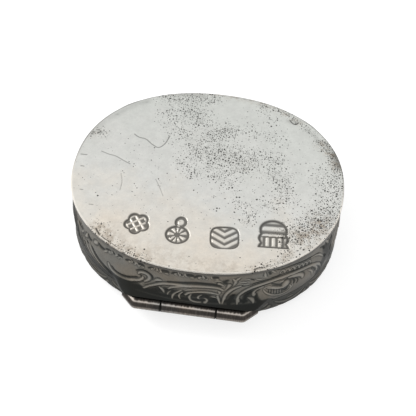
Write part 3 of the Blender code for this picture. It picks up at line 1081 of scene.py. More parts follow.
# %% The profile of the lid's band
band_low, band_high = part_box("lid_band")
lid_plate_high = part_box("lid_mouth_plate")[1]
band_top_z = lid_plate_high.z - skirt_gap
band_relief_room = 0.03 * mm
band_widest = band_high.x - half_length - band_relief_room
band_roll = 1.41 * mm
band_widest_z = band_low.z + band_roll
band_flare_length = math.hypot(band_top_z - band_widest_z, band_widest - mouth_reach)
band_roll_length = band_roll * math.pi / 2
band_length = band_flare_length + band_roll_length


def band_profile(height_share):
    """Row 0 is under the seam, and the last row meets the lid's face."""
    down = height_share * band_length
    flare = np.clip(down / band_flare_length, 0, 1)
    turn = np.clip((down - band_flare_length) / band_roll_length, 0, 1) * math.pi / 2
    offset = mouth_reach + (band_widest - mouth_reach) * flare - band_roll * (1 - np.cos(turn))
    height = band_top_z + (band_widest_z - band_top_z) * flare - band_roll * np.sin(turn)
    return offset, height, np.cos(turn), -np.sin(turn)


print("the band is", round(band_length / mm, 2), "mm from its seam to the lid's face")

# %% The lid's band
band_columns = 900
band_rows = 36
band_thickness = 0.4 * mm
band_repeats = 20
band_line_rise = 0.03 * mm
band_groove_depth = 0.12 * mm
band_plain_tone = 0.24
band_line_tone = 0.20
band_groove_tone = 0.26
band_motif = [
    ("line", 0.24, ((0.2, 2.9), (1.0, 2.4), (2.2, 2.1), (3.6, 2.1), (4.8, 2.4), (5.6, 2.9))),
    ("drop", 0.26, ((5.9, 2.2), (5.4, 1.8), (4.7, 1.6), (3.9, 1.7))),
    ("leaf", 0.22, ((0.4, 2.0), (1.1, 1.5), (2.0, 1.3), (2.9, 1.5))),
    ("cut", 0.14, ((0.6, 1.4), (1.8, 0.9), (3.4, 0.8), (5.2, 1.1), (6.2, 1.6))),
    ("leaf", 0.20, ((2.2, 2.7), (2.9, 2.75), (3.6, 2.7))),
    ("leaf", 0.26, ((1.4, 0.3), (3.2, 0.1), (5.0, 0.3))),
    ("pool", 0.26, ((6.2, 1.0), (6.45, 0.5))),
]
band_sheet = Sheet(
    np.linspace(-girth / 2, girth / 2, band_columns + 1) / mm,
    np.linspace(band_top_z, band_top_z - band_length, band_rows + 1) / mm,
)
for repeat in range(band_repeats):
    for kind, stroke_half, points in band_motif:
        band_sheet.draw(kind, stroke_half, points, shift=all_round * repeat / band_repeats)
band_hollow = band_sheet.hollow()
band_lift = blur(band_line_rise * band_sheet.raised - band_groove_depth * band_hollow)
band_tone = band_plain_tone + band_line_tone * band_sheet.raised
band_tone = band_tone - band_groove_tone * band_hollow
band = bent_sheet("chased_lid_band", band_columns, band_rows, band_profile, (band_lift, band_tone))
fit_to_hinge(band, False)
close_sheet(band, -band_thickness, -band_roll - band_thickness)
finish_piece(band, "lid", wall_silver, ["lid_band"])

# %% [markdown]
# The base is a plain plate, soldered on and worn by sliding about. A circle could be
# filled with one face, but then nothing in its middle could be shaped. A square grid is
# rounded into the oval instead. Only the faces near the punched marks and the scratches
# are cut finer, because the rest is almost flat.

# %% The base plate's grid
base_grid_faces = 120
base_z = base_high.z


def round_to_oval(mesh):
    """Rounds a square grid, from -1 to 1 each way, into the oval."""
    places = read_points(mesh)
    u, v = places[:, 0], places[:, 1]
    disc_x = u * np.sqrt(1 - v * v / 2)
    disc_y = v * np.sqrt(1 - u * u / 2)
    x, y = oval_place(np.arctan2(disc_y, disc_x), 0)
    reach = np.hypot(disc_x, disc_y)
    write_points(mesh, np.stack([x * reach, y * reach, places[:, 2]], 1))


pick_nothing()
bpy.ops.mesh.primitive_grid_add(
    x_subdivisions=base_grid_faces, y_subdivisions=base_grid_faces, size=2
)
base = bpy.context.object
base.name = "worn_base"
round_to_oval(base.data)
places = read_points(base.data)
places[:, 2] = base_z
write_points(base.data, places)
print("base grid:", len(base.data.polygons), "faces")

# %% Marks, and scratches with their half widths in mm, by the photograph's pixels
mark_pixels = ((137, 223), (178.6, 230), (224.7, 237.5), (273.8, 234))
mark_half_sizes = ((2.15, 2.25), (2.0, 2.7), (2.3, 2.2), (2.5, 2.8))
scratch_pixels = (
    (0.10, (
        (134.6, 134), (139, 137), (146, 139), (152, 144), (158.5, 147.4), (165, 143.6), (170, 136),
    )),
    (0.09, ((101.6, 151), (109, 154), (116, 156), (123, 160), (130, 163.7))),
    (0.06, ((121, 173), (122, 181), (120, 190))),
    (0.06, ((155.7, 179), (160, 188), (163, 196))),
    (0.10, ((81, 154), (87, 154.5))),
    (0.10, ((81, 165.6), (84, 166))),
    (0.08, ((80, 189), (83, 189.6))),
    (0.08, ((89, 204), (93, 204.4))),
    (0.16, ((96.2, 228.6), (97.8, 231.6), (99.4, 234.2))),
    (0.12, ((101.5, 236.0), (105.0, 238.8), (108.6, 241.0))),
    (0.09, ((108.6, 241.0), (112.5, 243.8), (116.5, 246.3))),
    (0.13, ((123.0, 252.0), (124.8, 252.8))),
    (0.14, ((254.5, 269.5), (258.0, 268.0), (262.5, 267.5))),
    (0.09, ((262.0, 264.5), (264.5, 266.0))),
    (0.14, ((290.0, 120.5), (293.0, 123.6), (296.0, 124.4), (298.5, 122.8))),
)
mark_centres = [point_under_pixel(pixel, base_z) for pixel in mark_pixels]
scratch_lines = [
    (half_width_mm * mm, smooth_line([point_under_pixel(p, base_z).to_2d() for p in pixels]))
    for half_width_mm, pixels in scratch_pixels
]
print("marks:", len(mark_centres), "scratches:", len(scratch_lines))

# %% Finer faces near the marks and scratches
fine_reach = 0.8 * mm
fine_cuts = 3


def gap_to_line(x, y, line):
    """How far each point is from a line, in metres."""
    nearest = np.full(x.shape, 1.0)
    for start, stop in zip(line[:-1], line[1:]):
        run = stop - start
        length = max(run @ run, 1e-12)
        share = np.clip(((x - start[0]) * run[0] + (y - start[1]) * run[1]) / length, 0, 1)
        gap = np.hypot(x - start[0] - share * run[0], y - start[1] - share * run[1])
        nearest = np.minimum(nearest, gap)
    return nearest


def needs_fine_faces(x, y):
    fine = np.zeros(x.shape, bool)
    for centre, size in zip(mark_centres, mark_half_sizes):
        near_x = np.abs(x - centre.x) < size[0] * mm + fine_reach
        near_y = np.abs(y - centre.y) < size[1] * mm + fine_reach
        fine |= near_x & near_y
    for half, line in scratch_lines:
        fine |= gap_to_line(x, y, line) < half + fine_reach / 2
    return fine


mesh = base.data
centres = np.empty(len(mesh.polygons) * 3)
mesh.polygons.foreach_get("center", centres)
centres = centres.reshape(-1, 3)
fine = needs_fine_faces(centres[:, 0], centres[:, 1])
pick(base)
bpy.ops.object.mode_set(mode="EDIT")
bpy.ops.mesh.select_mode(type="FACE")
bpy.ops.mesh.select_all(action="DESELECT")
bpy.ops.object.mode_set(mode="OBJECT")
mesh.polygons.foreach_set("select", fine)
bpy.ops.object.mode_set(mode="EDIT")
bpy.ops.mesh.subdivide(number_cuts=fine_cuts)
bpy.ops.object.mode_set(mode="OBJECT")
print("base grid after the finer cuts:", len(mesh.polygons), "faces")

# %% [markdown]
# Four small workshop punches are struck in the base: a lobed shape with a lattice, a pair
# of rounds with rays, a soft square with chevrons and a fluted cartouche. They could be
# painted on, but a punch pushes its outline down and leaves the figure standing. So each
# one is worked out as a sunk ground with raised lines, from -1 to 1 across the punch.

# %% A lobed lattice and a pair of rounds
lobe_count = 5
lobe_wave = 0.20
lobe_turn = 0.6
lattice_gap = 0.66
lattice_bar = (1.5, 0.10)
large_half, large_y = (0.98, 0.68), -0.32
small_half, small_y = (0.50, 0.44), 0.60
ray_count = 9
ray_width = 0.62
ray_soft = 0.2
hub = 0.25
boss = 0.55
boss_soft = 0.15


def off_bars(place, gap):
    """How far a place is from the nearest of some bars that repeat by this gap."""
    return np.abs(place % gap - gap / 2)


def raised(off, width, soft):
    """1 on a bar and 0 beside it."""
    return np.clip(width - off / soft, 0, 1)


def lobed_lattice(x, y):
    """A flower of round lobes with bars crossing in it."""
    wave = np.abs(np.cos(np.arctan2(y, x) * lobe_count / 2 + lobe_turn))
    edge = np.hypot(x, y) / (1 - lobe_wave + lobe_wave * wave) - 1
    lattice = np.minimum(off_bars(x + y, lattice_gap), off_bars(x - y, lattice_gap))
    return edge, raised(lattice, *lattice_bar)


def rayed_pair(x, y):
    """A small round over a larger one, with rays in the large one."""
    large = np.hypot(x / large_half[0], (y - large_y) / large_half[1])
    small = np.hypot(x / small_half[0], (y - small_y) / small_half[1])
    turn = np.arctan2(y - large_y, x) / (2 * math.pi) * ray_count
    rays = np.clip((ray_width - np.abs(turn % 1 - 0.5) * 2) / ray_soft, 0, 1) * (large > hub)
    ring = np.clip((boss - small) / boss_soft, 0, 1)
    return np.minimum(large, small) - 1, np.where(large < 1, rays, ring)


print("lobes:", lobe_count, "rays:", ray_count)

# %% A cushion with chevrons and a fluted cartouche
cushion_power = 3.4
cushion_soft = 1.6
chevron_gap = 0.56
chevron_slope = 0.7
chevron_bar = (1.7, 0.12)
head_half, head_y = (0.92, 0.72), 0.30
foot_half, foot_y = (0.86, 0.56), -0.42
foot_wave, foot_wave_pace = 0.14, 5
flute_gap, flute_start, flute_top = 0.38, -0.19, -0.25
flute_bar = (1.5, 0.09)
ring_gap, ring_start, ring_foot = 0.52, 0.12, -0.16
ring_bar = (1.6, 0.13)


def chevron_cushion(x, y):
    """A soft square with pointed bars."""
    edge = np.abs(x) ** cushion_power + np.abs(y) ** cushion_power - 1
    zigzag = off_bars(y - np.abs(x) * chevron_slope, chevron_gap)
    return edge / cushion_soft, raised(zigzag, *chevron_bar)


def fluted_cartouche(x, y):
    """A round head with rings across it, over a wider foot with flutes."""
    head = np.hypot(x / head_half[0], (y - head_y) / head_half[1]) - 1
    foot_width = foot_half[0] + foot_wave * np.abs(np.sin(y * foot_wave_pace))
    foot = np.maximum(np.abs(x) / foot_width, np.abs(y - foot_y) / foot_half[1]) - 1
    flutes = raised(off_bars(x - flute_start, flute_gap), *flute_bar) * (y < flute_top)
    rings = raised(off_bars(y - ring_start, ring_gap), *ring_bar) * (y > ring_foot)
    return np.minimum(head, foot), np.maximum(flutes, rings)


punches = (lobed_lattice, rayed_pair, chevron_cushion, fluted_cartouche)
print("punches:", ", ".join(punch.__name__ for punch in punches))

# %% How deep and dark the punches make the base
mark_turns = (-8, -4, 6, 4)
ground_soft = 0.10
rim_place = 0.13
rim_width = 0.11
figure_inset = 0.20
figure_soft = 0.12
figure_height = 0.72
mark_dark = 0.90
ground_dark = 0.9


def punch_values(x, y):
    """How deep and how dark each point is made by the four punches."""
    depth = np.zeros(x.shape)
    dark = np.zeros(x.shape)
    for centre, size, turn, punch in zip(mark_centres, mark_half_sizes, mark_turns, punches):
        angle = math.radians(turn)
        from_x = (x - centre.x) / mm
        from_y = (y - centre.y) / mm
        own_x = (from_x * math.cos(angle) + from_y * math.sin(angle)) / size[0]
        own_y = (from_y * math.cos(angle) - from_x * math.sin(angle)) / size[1]
        edge, figure = punch(own_x, own_y)
        inside = np.clip(-edge / ground_soft, 0, 1)
        rim = np.exp(-(((edge + rim_place) / rim_width) ** 4))
        figure = figure * np.clip((-edge - figure_inset) / figure_soft, 0, 1)
        ground = inside * ground_dark * (1 - figure)
        depth = np.maximum(depth, inside * (1 - figure_height * figure))
        dark = np.maximum(dark, mark_dark * np.maximum(rim, ground))
    return depth, dark


print("the marks are turned by", mark_turns, "degrees")

# %% [markdown]
# Wear isn't even. On the real base, pits sit in clusters and tarnish has crept in along
# the rim. Noise alone would scatter them all over. So each cluster is a soft cloud along
# a line that is read off the photograph, and its strength is stored on the mesh.

# %% Clouds of pits: strength, half width in mm, and a line of pixels
pit_clouds = (
    (0.75, 1.5, ((166, 97), (182, 98), (196, 100), (210, 100))),
    (0.70, 2.1, ((184, 104), (196, 114), (202, 124))),
    (0.50, 2.0, ((172, 116), (180, 130), (186, 138))),
    (0.95, 1.8, ((212, 138), (222, 134), (230, 132))),
    (0.90, 2.6, ((202, 152), (222, 156), (246, 160))),
    (0.70, 1.8, ((214, 172), (230, 172), (246, 166))),
    (0.55, 1.3, ((184, 162), (190, 168), (194, 174))),
    (0.60, 1.6, ((250, 158), (264, 156), (276, 160))),
    (0.65, 1.7, ((272, 172), (282, 184), (286, 198))),
    (0.35, 0.9, ((222, 185), (232, 186), (234, 196))),
    (0.60, 1.2, ((243, 206), (250, 212), (246, 220))),
    (0.45, 1.5, ((264, 204), (272, 206), (280, 202))),
    (1.10, 2.4, ((296, 236), (308, 230), (320, 222), (332, 214))),
    (1.20, 1.1, ((322, 144), (332, 154), (338, 168))),
    (0.45, 2.0, ((322, 176), (328, 192), (326, 208))),
    (0.26, 1.9, ((250, 130), (266, 134), (282, 142))),
    (0.20, 1.3, ((262, 110), (272, 120), (268, 128))),
    (0.80, 1.0, ((338, 172), (338, 190), (333, 206))),
    (0.70, 0.7, ((262, 105), (280, 111), (296, 121), (312, 133))),
    (0.55, 0.9, ((91, 132), (98, 131), (104, 134))),
    (0.34, 1.1, ((97, 226), (106, 238), (124, 251), (142, 260))),
    (0.60, 0.8, ((256, 269), (272, 265), (284, 258), (296, 248))),
    (0.03, 9.0, ((140, 180), (240, 200), (300, 180))),
)
print("clouds of pits:", len(pit_clouds))

# %% Smudges and stains, in the same way
smudge_clouds = (
    (0.55, 0.6, ((334, 153), (337, 160), (339, 166))),
    (0.20, 0.4, ((289, 121), (293, 123), (298, 122))),
    (0.25, 0.5, ((180, 95), (192, 95), (204, 96))),
    (0.22, 0.4, ((306, 130), (314, 136), (320, 142))),
    (0.16, 0.8, ((97, 127.5), (107, 119.5), (118, 113), (132, 106), (147, 101))),
    (0.60, 0.25, ((92.6, 133.6), (93.8, 131.8))),
    (0.60, 0.28, ((99.4, 131.4), (101.6, 132.4))),
    (0.50, 0.18, ((116.4, 114.0), (118.0, 114.6))),
    (0.30, 0.30, ((143.0, 101.8), (147.0, 102.4))),
)
stain_clouds = (
    (1.2, 2.0, ((304, 238), (314, 230), (322, 222))),
    (1.2, 1.9, ((100, 230), (114, 244), (130, 255), (146, 261))),
    (0.6, 1.6, ((150, 250), (170, 256), (200, 266), (230, 268))),
    (0.12, 2.6, ((200, 140), (240, 165), (280, 190))),
    (1.2, 1.0, ((322, 146), (333, 156), (338, 168))),
    (0.7, 0.7, ((160, 93), (200, 92), (262, 104), (300, 123))),
    (0.35, 1.8, ((84, 130), (98, 133))),
    (0.8, 1.0, ((250, 270), (272, 264), (290, 254))),
)
print("smudges:", len(smudge_clouds), "stains:", len(stain_clouds))

# %% Sink the marks and scratches, and spread the clouds
mark_depth = 0.16 * mm
scratch_depth = 0.02 * mm
scratch_soft = 1.3
scratch_dark = 0.40
scratch_dark_per_mm = 3.5
base_wave = 0.018 * mm
wave_scale = 160
wave_layer = 3.1
wave_fade = 6


def cloud_values(x, y, clouds):
    """Soft patches along lines in the photograph."""
    values = np.zeros(x.shape)
    for strength, half, pixels in clouds:
        line = smooth_line([point_under_pixel(pixel, base_z).to_2d() for pixel in pixels])
        gap = gap_to_line(x, y, line)
        values = np.maximum(values, strength * np.exp(-((gap / (half * mm)) ** 2)))
    return values


places = read_points(base.data)
x, y = places[:, 0], places[:, 1]
depth, dark = punch_values(x, y)
scratched = np.zeros(x.shape)
for half, line in scratch_lines:
    near = np.clip(scratch_soft - gap_to_line(x, y, line) / half, 0, 1)
    scratched = np.maximum(scratched, near)
    dark = np.maximum(dark, near * min(1, scratch_dark + scratch_dark_per_mm * half / mm))
wave = np.array([
    noise.noise((px * wave_scale, py * wave_scale, wave_layer)) for px, py in zip(x, y)
])
rim_share = (np.abs(x) / half_length) ** oval_power + (np.abs(y) / half_width) ** oval_power
wave_room = np.clip((1 - rim_share) * wave_fade, 0, 1)
places[:, 2] = base_z - base_wave * (1 + wave) / 2 * wave_room
places[:, 2] -= mark_depth * depth + scratch_depth * scratched
write_points(base.data, places)
store_value(base.data, "dark", np.maximum(dark, cloud_values(x, y, smudge_clouds)))
store_value(base.data, "rim", rim_share)
store_value(base.data, "pitting", cloud_values(x, y, pit_clouds))
store_value(base.data, "stain", cloud_values(x, y, stain_clouds))
print("deepest place in the base:", round((base_z - places[:, 2].min()) / mm, 3), "mm")

# %% Give the plate its thickness and a rounded edge
base_round = 0.10 * mm
face_depth = 2.5 * base_round
base_down = (0, 0, base_low.z - base_z)
rim_bend = math.radians(60)
flat_gap = 0.01 * mm
pick(base)
bpy.ops.object.mode_set(mode="EDIT")
bpy.ops.mesh.select_mode(type="EDGE")
bpy.ops.mesh.select_all(action="DESELECT")
bpy.ops.mesh.select_non_manifold()
bpy.ops.mesh.extrude_region_move(TRANSFORM_OT_translate={"value": base_down})
bpy.ops.mesh.edge_face_add()
bpy.ops.object.mode_set(mode="OBJECT")
shape = bmesh.new()
shape.from_mesh(base.data)
rim = [
    edge
    for edge in shape.edges
    if edge.calc_face_angle(0) > rim_bend
    and min(vertex.co.z for vertex in edge.verts) > base_z - flat_gap
]
bmesh.ops.bevel(shape, geom=rim, offset=base_round, segments=3, affect="EDGES")
bmesh.ops.recalc_face_normals(shape, faces=shape.faces)
shape.to_mesh(base.data)
shape.free()
is_face = read_points(base.data)[:, 2] > base_z - face_depth
for name in ("dark", "pitting", "stain", "rim"):
    store_value(base.data, name, read_value(base.data, name) * is_face)
print("rounded rim edges:", len(rim))

# %% [markdown]
# The base is pale satin silver. The photograph shows it cooler at the back and warmer
# at the front left, with black pits in clusters and brown stains near the rim. Pits are
# cells of a Voronoi pattern: each cell draws a random number, and has a pit where that
# number is under the pitting value that the mesh carries.

# %% Worn base silver
base_pale = (0.775, 0.775, 0.742)
base_cool = (0.735, 0.748, 0.712)
base_warm = (0.850, 0.785, 0.690)
pit_black = (0.018, 0.016, 0.013)
stain_brown = (0.400, 0.330, 0.255)
painted_side_shade = (0.035, 0.033, 0.030)
lip_painted_highlight = (0.93, 0.89, 0.82)
lip_painted_shade = (0.16, 0.155, 0.14)
pit_kinds = ((0.46 * mm, 0.44, 10), (0.30 * mm, 0.66, 10), (0.20 * mm, 0.66, 8))
pit_radius = 0.20
tiny_pit_dark = 0.85
pit_cover = 0.93
stain_cover = 0.75
dirt_cover = 0.75
lip_shade_cover = 0.6


def pits(nodes, cell_size, share, soft):
    """1 in a pit and 0 elsewhere, for pits of one size and one share of the cells."""
    cells = nodes.add("ShaderNodeTexVoronoi", voronoi_dimensions="2D")
    cells.inputs["Scale"].default_value = 1 / cell_size
    nodes.join(nodes.place, cells.inputs["Vector"])
    lot = nodes.add("ShaderNodeSeparateColor")
    nodes.join(cells.outputs["Color"], lot.inputs[0])
    chance = nodes.math("MULTIPLY", nodes.value("pitting"), share)
    drawn = nodes.math("LESS_THAN", lot.outputs[0], chance)
    radius = nodes.math("MULTIPLY_ADD", lot.outputs[1], pit_radius, pit_radius)
    closer = nodes.math("SUBTRACT", radius, cells.outputs["Distance"])
    edge = nodes.math("MULTIPLY", closer, soft)
    clipped = nodes.add("ShaderNodeClamp")
    nodes.join(edge, clipped.inputs[0])
    return nodes.math("MULTIPLY", clipped.outputs[0], drawn)


def black_and_white(nodes, value, black, white):
    """0 up to one level of the value and 1 from another."""
    return nodes.ramp(value, [(black, grey(0)), (white, grey(1))])


print("kinds of pits:", len(pit_kinds))

# %% Satin silver
warm_patch = 7 * mm
warm_cloud = 0.8
warm_start = 0.43
warm_per_metre = (-5, -24)
film_patch = 1.4 * mm
fine_patch = 0.26 * mm
satin_stops = ((0.1, base_cool), (0.5, base_pale), (0.95, base_warm))
film_stops = ((0.35, grey(0.93)), (0.65, grey(1.02)))
fine_stops = ((0.32, grey(0.95)), (0.68, grey(1.03)))


def satin_colour(nodes, x, y, film):
    """Cooler at the back and warmer at the front left, under a thin cloudy film."""
    lean = nodes.math("MULTIPLY_ADD", x, warm_per_metre[0], warm_start)
    lean = nodes.math("MULTIPLY_ADD", y, warm_per_metre[1], lean)
    lean = nodes.math("ADD", lean, -warm_cloud / 2)
    warmth = nodes.math("MULTIPLY_ADD", nodes.noise(warm_patch, 4), warm_cloud, lean)
    colour = nodes.ramp(warmth, satin_stops)
    colour = nodes.mix(1.0, colour, nodes.ramp(film, film_stops), "MULTIPLY")
    fine = nodes.ramp(nodes.noise(fine_patch, 3, 0.7), fine_stops)
    return nodes.mix(1.0, colour, fine, "MULTIPLY")


print("the satin changes over about", round(warm_patch / mm), "mm")

# %% The rim's painted highlight and shade, stains and dirt
back_per_metre = 120
shade_per_metre = 2.2
stain_patch = 0.9 * mm
dirt_patch = 0.7 * mm
lip_levels = (0.968, 0.985)
stain_levels = (0.42, 0.66)
dirt_levels = (0.46, 0.60)
dirt_line = ((0.940, grey(0)), (0.955, grey(1)), (0.962, grey(1)), (0.970, grey(0)))
upright_levels = {"From Min": 0.10, "From Max": 0.40, "To Min": 0.92, "To Max": 0}


def worn_colour(nodes, colour, x, y, rim):
    """A rim with a painted highlight in front and painted shade at the back, brown stains, and
    painted shading from left to right.
    """
    lip = black_and_white(nodes, rim, *lip_levels)
    back = black_and_white(nodes, nodes.math("MULTIPLY_ADD", y, back_per_metre, 0.5), 0, 1)
    front = nodes.math("SUBTRACT", 1, back)
    colour = nodes.mix(nodes.math("MULTIPLY", lip, front), colour, lip_painted_highlight)
    back_lip_shade = nodes.math("MULTIPLY", nodes.math("MULTIPLY", lip, back), lip_shade_cover)
    colour = nodes.mix(back_lip_shade, colour, lip_painted_shade)
    brown = black_and_white(nodes, nodes.noise(stain_patch, 5, 0.7), *stain_levels)
    stained = nodes.math("MULTIPLY", brown, nodes.value("stain"))
    colour = nodes.mix(nodes.math("MULTIPLY", stained, stain_cover), colour, stain_brown)
    # Painted shading across the plate: a little darker on the left and lighter on the right.
    even = nodes.math("MULTIPLY_ADD", x, shade_per_metre, 1.0)
    shaded = nodes.add("ShaderNodeCombineColor")
    for socket in shaded.inputs:
        nodes.join(even, socket)
    return nodes.mix(1.0, colour, shaded.outputs[0], "MULTIPLY")


def rim_dirt(nodes, rim):
    """A broken dark line just inside the rim, where the stains are."""
    broken = black_and_white(nodes, nodes.noise(dirt_patch, 3), *dirt_levels)
    dirt = nodes.math("MULTIPLY", nodes.ramp(rim, dirt_line), broken)
    stained = nodes.math("MULTIPLY", dirt, nodes.value("stain"))
    return nodes.math("MULTIPLY", stained, dirt_cover)


def upright(nodes):
    """Almost 1 on the plate's upright edge, and 0 on its flat face."""
    facing = nodes.add("ShaderNodeSeparateXYZ")
    nodes.join(nodes.place.node.outputs["Normal"], facing.inputs[0])
    level = nodes.add("ShaderNodeMapRange")
    for name, value in upright_levels.items():
        level.inputs[name].default_value = value
    nodes.join(nodes.math("ABSOLUTE", facing.outputs[2]), level.inputs["Value"])
    return level.outputs[0]


# The bright front of the rim is a painted highlight, and its dark back is painted shade.
print("the rim shines in front and is", lip_shade_cover, "covered by tarnish at the back")

# %% The base's finish
plain_rough = 0.36
dark_rough = 0.25
film_rough = 0.12
hairline_size = 0.16 * mm
hairline_stretch = (1, 0.12, 1)
hairline_height = 0.12
base_metallic = 0.9
bump_strength = 0.5
bump_depth = 0.05 * mm


def worn_base_material():
    nodes = Nodes("worn_base_silver")
    split = nodes.add("ShaderNodeSeparateXYZ")
    nodes.join(nodes.place, split.inputs[0])
    x, y = split.outputs[0], split.outputs[1]
    rim = nodes.value("rim")
    film = nodes.noise(film_patch, 5, 0.7)
    colour = worn_colour(nodes, satin_colour(nodes, x, y, film), x, y, rim)
    large, small, tiny = [pits(nodes, *kind) for kind in pit_kinds]
    pitted = nodes.math("MAXIMUM", large, small)
    pitted = nodes.math("MAXIMUM", pitted, nodes.math("MULTIPLY", tiny, tiny_pit_dark))
    darkness = nodes.math("MAXIMUM", pitted, rim_dirt(nodes, rim))
    darkness = nodes.math("MAXIMUM", darkness, nodes.value("dark"))
    colour = nodes.mix(nodes.math("MULTIPLY", darkness, pit_cover), colour, pit_black)
    # Painted shade on the plate's upright edge.
    colour = nodes.mix(upright(nodes), colour, painted_side_shade)
    nodes.join(colour, nodes.shader.inputs["Base Color"])
    rough = nodes.math("MULTIPLY_ADD", darkness, dark_rough, plain_rough)
    rough = nodes.math("MULTIPLY_ADD", film, film_rough, rough)
    nodes.join(rough, nodes.shader.inputs["Roughness"])
    nodes.shader.inputs["Metallic"].default_value = base_metallic
    hairlines = nodes.noise(hairline_size, 2, 0.5, hairline_stretch)
    scratched = nodes.math("MULTIPLY", hairlines, hairline_height)
    nodes.bump(nodes.math("MULTIPLY_ADD", pitted, -1.0, scratched), bump_strength, bump_depth)
    return nodes.material


base_silver = worn_base_material()
finish_piece(base, "box_body", base_silver, ["base_plate"])

# %% [markdown]
# The hinge is a tube soldered to a lug. Its outer knuckles turn a corner at each end,
# as a picture frame does, and run back to the wall. Two cylinders could be cut and joined
# at the corner, but the painted highlight along the ridge would break there. So each
# knuckle is a ring of points carried along a path: straight, then turned by an eighth of
# a circle. A value called round says where a point lies round the tube, and the ridge's
# painted highlight follows it round the corner.

# %% The hinge's tube
ring_points = 96
knuckle_low, knuckle_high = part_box("outer_knuckle_right")
slant = math.radians(45)
mitre_lean = math.tan(slant / 2)
elbow = 0.15 * mm
elbow_steps = 5
step_back = (barrel_radius + elbow) * mitre_lean
corner_x = knuckle_high.x - 2 * barrel_radius - step_back
straight_step = 0.13 * mm
end_steps = (0.07 * mm, 0.11 * mm)
run_back_reach = 0.86
run_back_shares = (0.25, 0.5, 0.75, 1)
ring_turns = [2 * math.pi * index / ring_points for index in range(ring_points)]
ring_outs = [math.cos(turn) * barrel_radius for turn in ring_turns]
ring_heights = [axis_z + math.sin(turn) * barrel_radius for turn in ring_turns]
print("the hinge's tube turns its corner at x", round(corner_x / mm, 2), "mm")

# %% Rings along the straight tube


def straight_shares(start_x, end_x, ends):
    """Where the rings stand along a straight run, with two more close to each cut end."""
    length = abs(end_x - start_x)
    steps = max(2, round(length / straight_step))
    shares = set(np.linspace(0, 1, steps + 1))
    for end in ends:
        place = abs(end - start_x) / length
        shares.update(abs(place - step / length) for step in end_steps)
    return sorted(shares)


def straight_rings(start_x, end_x, side, ends):
    """Rings along the straight run. The nearer to a mitre, the more they lean."""
    rings = []
    for share in straight_shares(start_x, end_x, ends):
        middle_x = start_x + (end_x - start_x) * share
        rings.append([
            (middle_x + side * share * min(elbow + out, 0) * mitre_lean, axis_y - out, height)
            for out, height in zip(ring_outs, ring_heights)
        ])
    return rings


print("rings along 1 mm of tube:", len(straight_rings(0, mm, 0, [])))

# %% Rings round the corner and back to the wall


def elbow_rings(end_x, side):
    """Rings round the filed corner."""
    rings = []
    for step in range(1, elbow_steps + 1):
        angle = slant * step / elbow_steps
        ring = []
        for out, height in zip(ring_outs, ring_heights):
            front = max(elbow + out, 0)
            back = min(elbow + out, 0)
            x = end_x + side * (front * math.sin(angle) + back * mitre_lean)
            ring.append((x, axis_y + elbow - front * math.cos(angle) - back, height))
        rings.append(ring)
    return rings


def run_back_rings(last, side):
    """Rings from the corner back to the wall, kept within the barrel's round below."""
    run_x = math.cos(slant) * side
    run_y = math.sin(slant)
    wall_y = axis_y + run_back_reach * barrel_radius
    length = (wall_y - last[0][1]) / run_y
    rings = []
    for share in run_back_shares:
        ring = []
        for x, y, z in last:
            reach = min(length, (wall_y - y) / run_y) * share
            x, y = x + run_x * reach, y + run_y * reach
            across = math.hypot(y - axis_y, z - axis_z)
            if z < axis_z and across > barrel_radius:
                y = axis_y + (y - axis_y) * barrel_radius / across
                z = axis_z + (z - axis_z) * barrel_radius / across
            ring.append((x, y, z))
        rings.append(ring)
    return rings


print("rings round the corner:", len(elbow_rings(corner_x, 1)))

# %% Join the rings into a closed tube


def tube(name, rings):
    """Skins the rings with faces and closes both ends."""
    shape = bmesh.new()
    layer = shape.verts.layers.float.new("round")
    made = []
    for ring in rings:
        row = []
        for turn, place in zip(ring_turns, ring):
            vertex = shape.verts.new(place)
            vertex[layer] = turn / (2 * math.pi)
            row.append(vertex)
        made.append(row)
    for row, following in zip(made[:-1], made[1:]):
        for index in range(ring_points):
            after = (index + 1) % ring_points
            shape.faces.new((row[index], row[after], following[after], following[index]))
    shape.faces.new(made[0])
    shape.faces.new(made[-1])
    bmesh.ops.recalc_face_normals(shape, faces=shape.faces)
    mesh = bpy.data.meshes.new(name)
    shape.to_mesh(mesh)
    shape.free()
    piece = bpy.data.objects.new(name, mesh)
    scene.collection.objects.link(piece)
    print(name, "is made of", len(rings), "rings")
    return piece


def mitred_tube(name, start_x, end_x, side):
    """A knuckle that turns its corner at end_x. Side is 1 on the right and -1 on the left."""
    rings = straight_rings(start_x, end_x, side, [start_x]) + elbow_rings(end_x, side)
    return tube(name, rings + run_back_rings(rings[-1], side))


right_start = knuckle_low.x
centre_ends = [barrel_low.x, barrel_high.x]
left_knuckle = mitred_tube("mitred_knuckle_left", -right_start, -corner_x, -1)
right_knuckle = mitred_tube("mitred_knuckle_right", right_start, corner_x, 1)
centre_knuckle = tube("lid_knuckle", straight_rings(*centre_ends, 0, centre_ends))

# %% The bore in a knuckle's flat end
bore_radius = 0.44 * mm
bore_depth = 3.0 * mm
flat_tilt = 0.001
shoulder_inset = 0.10 * mm
shoulder_reach = 0.09 * mm


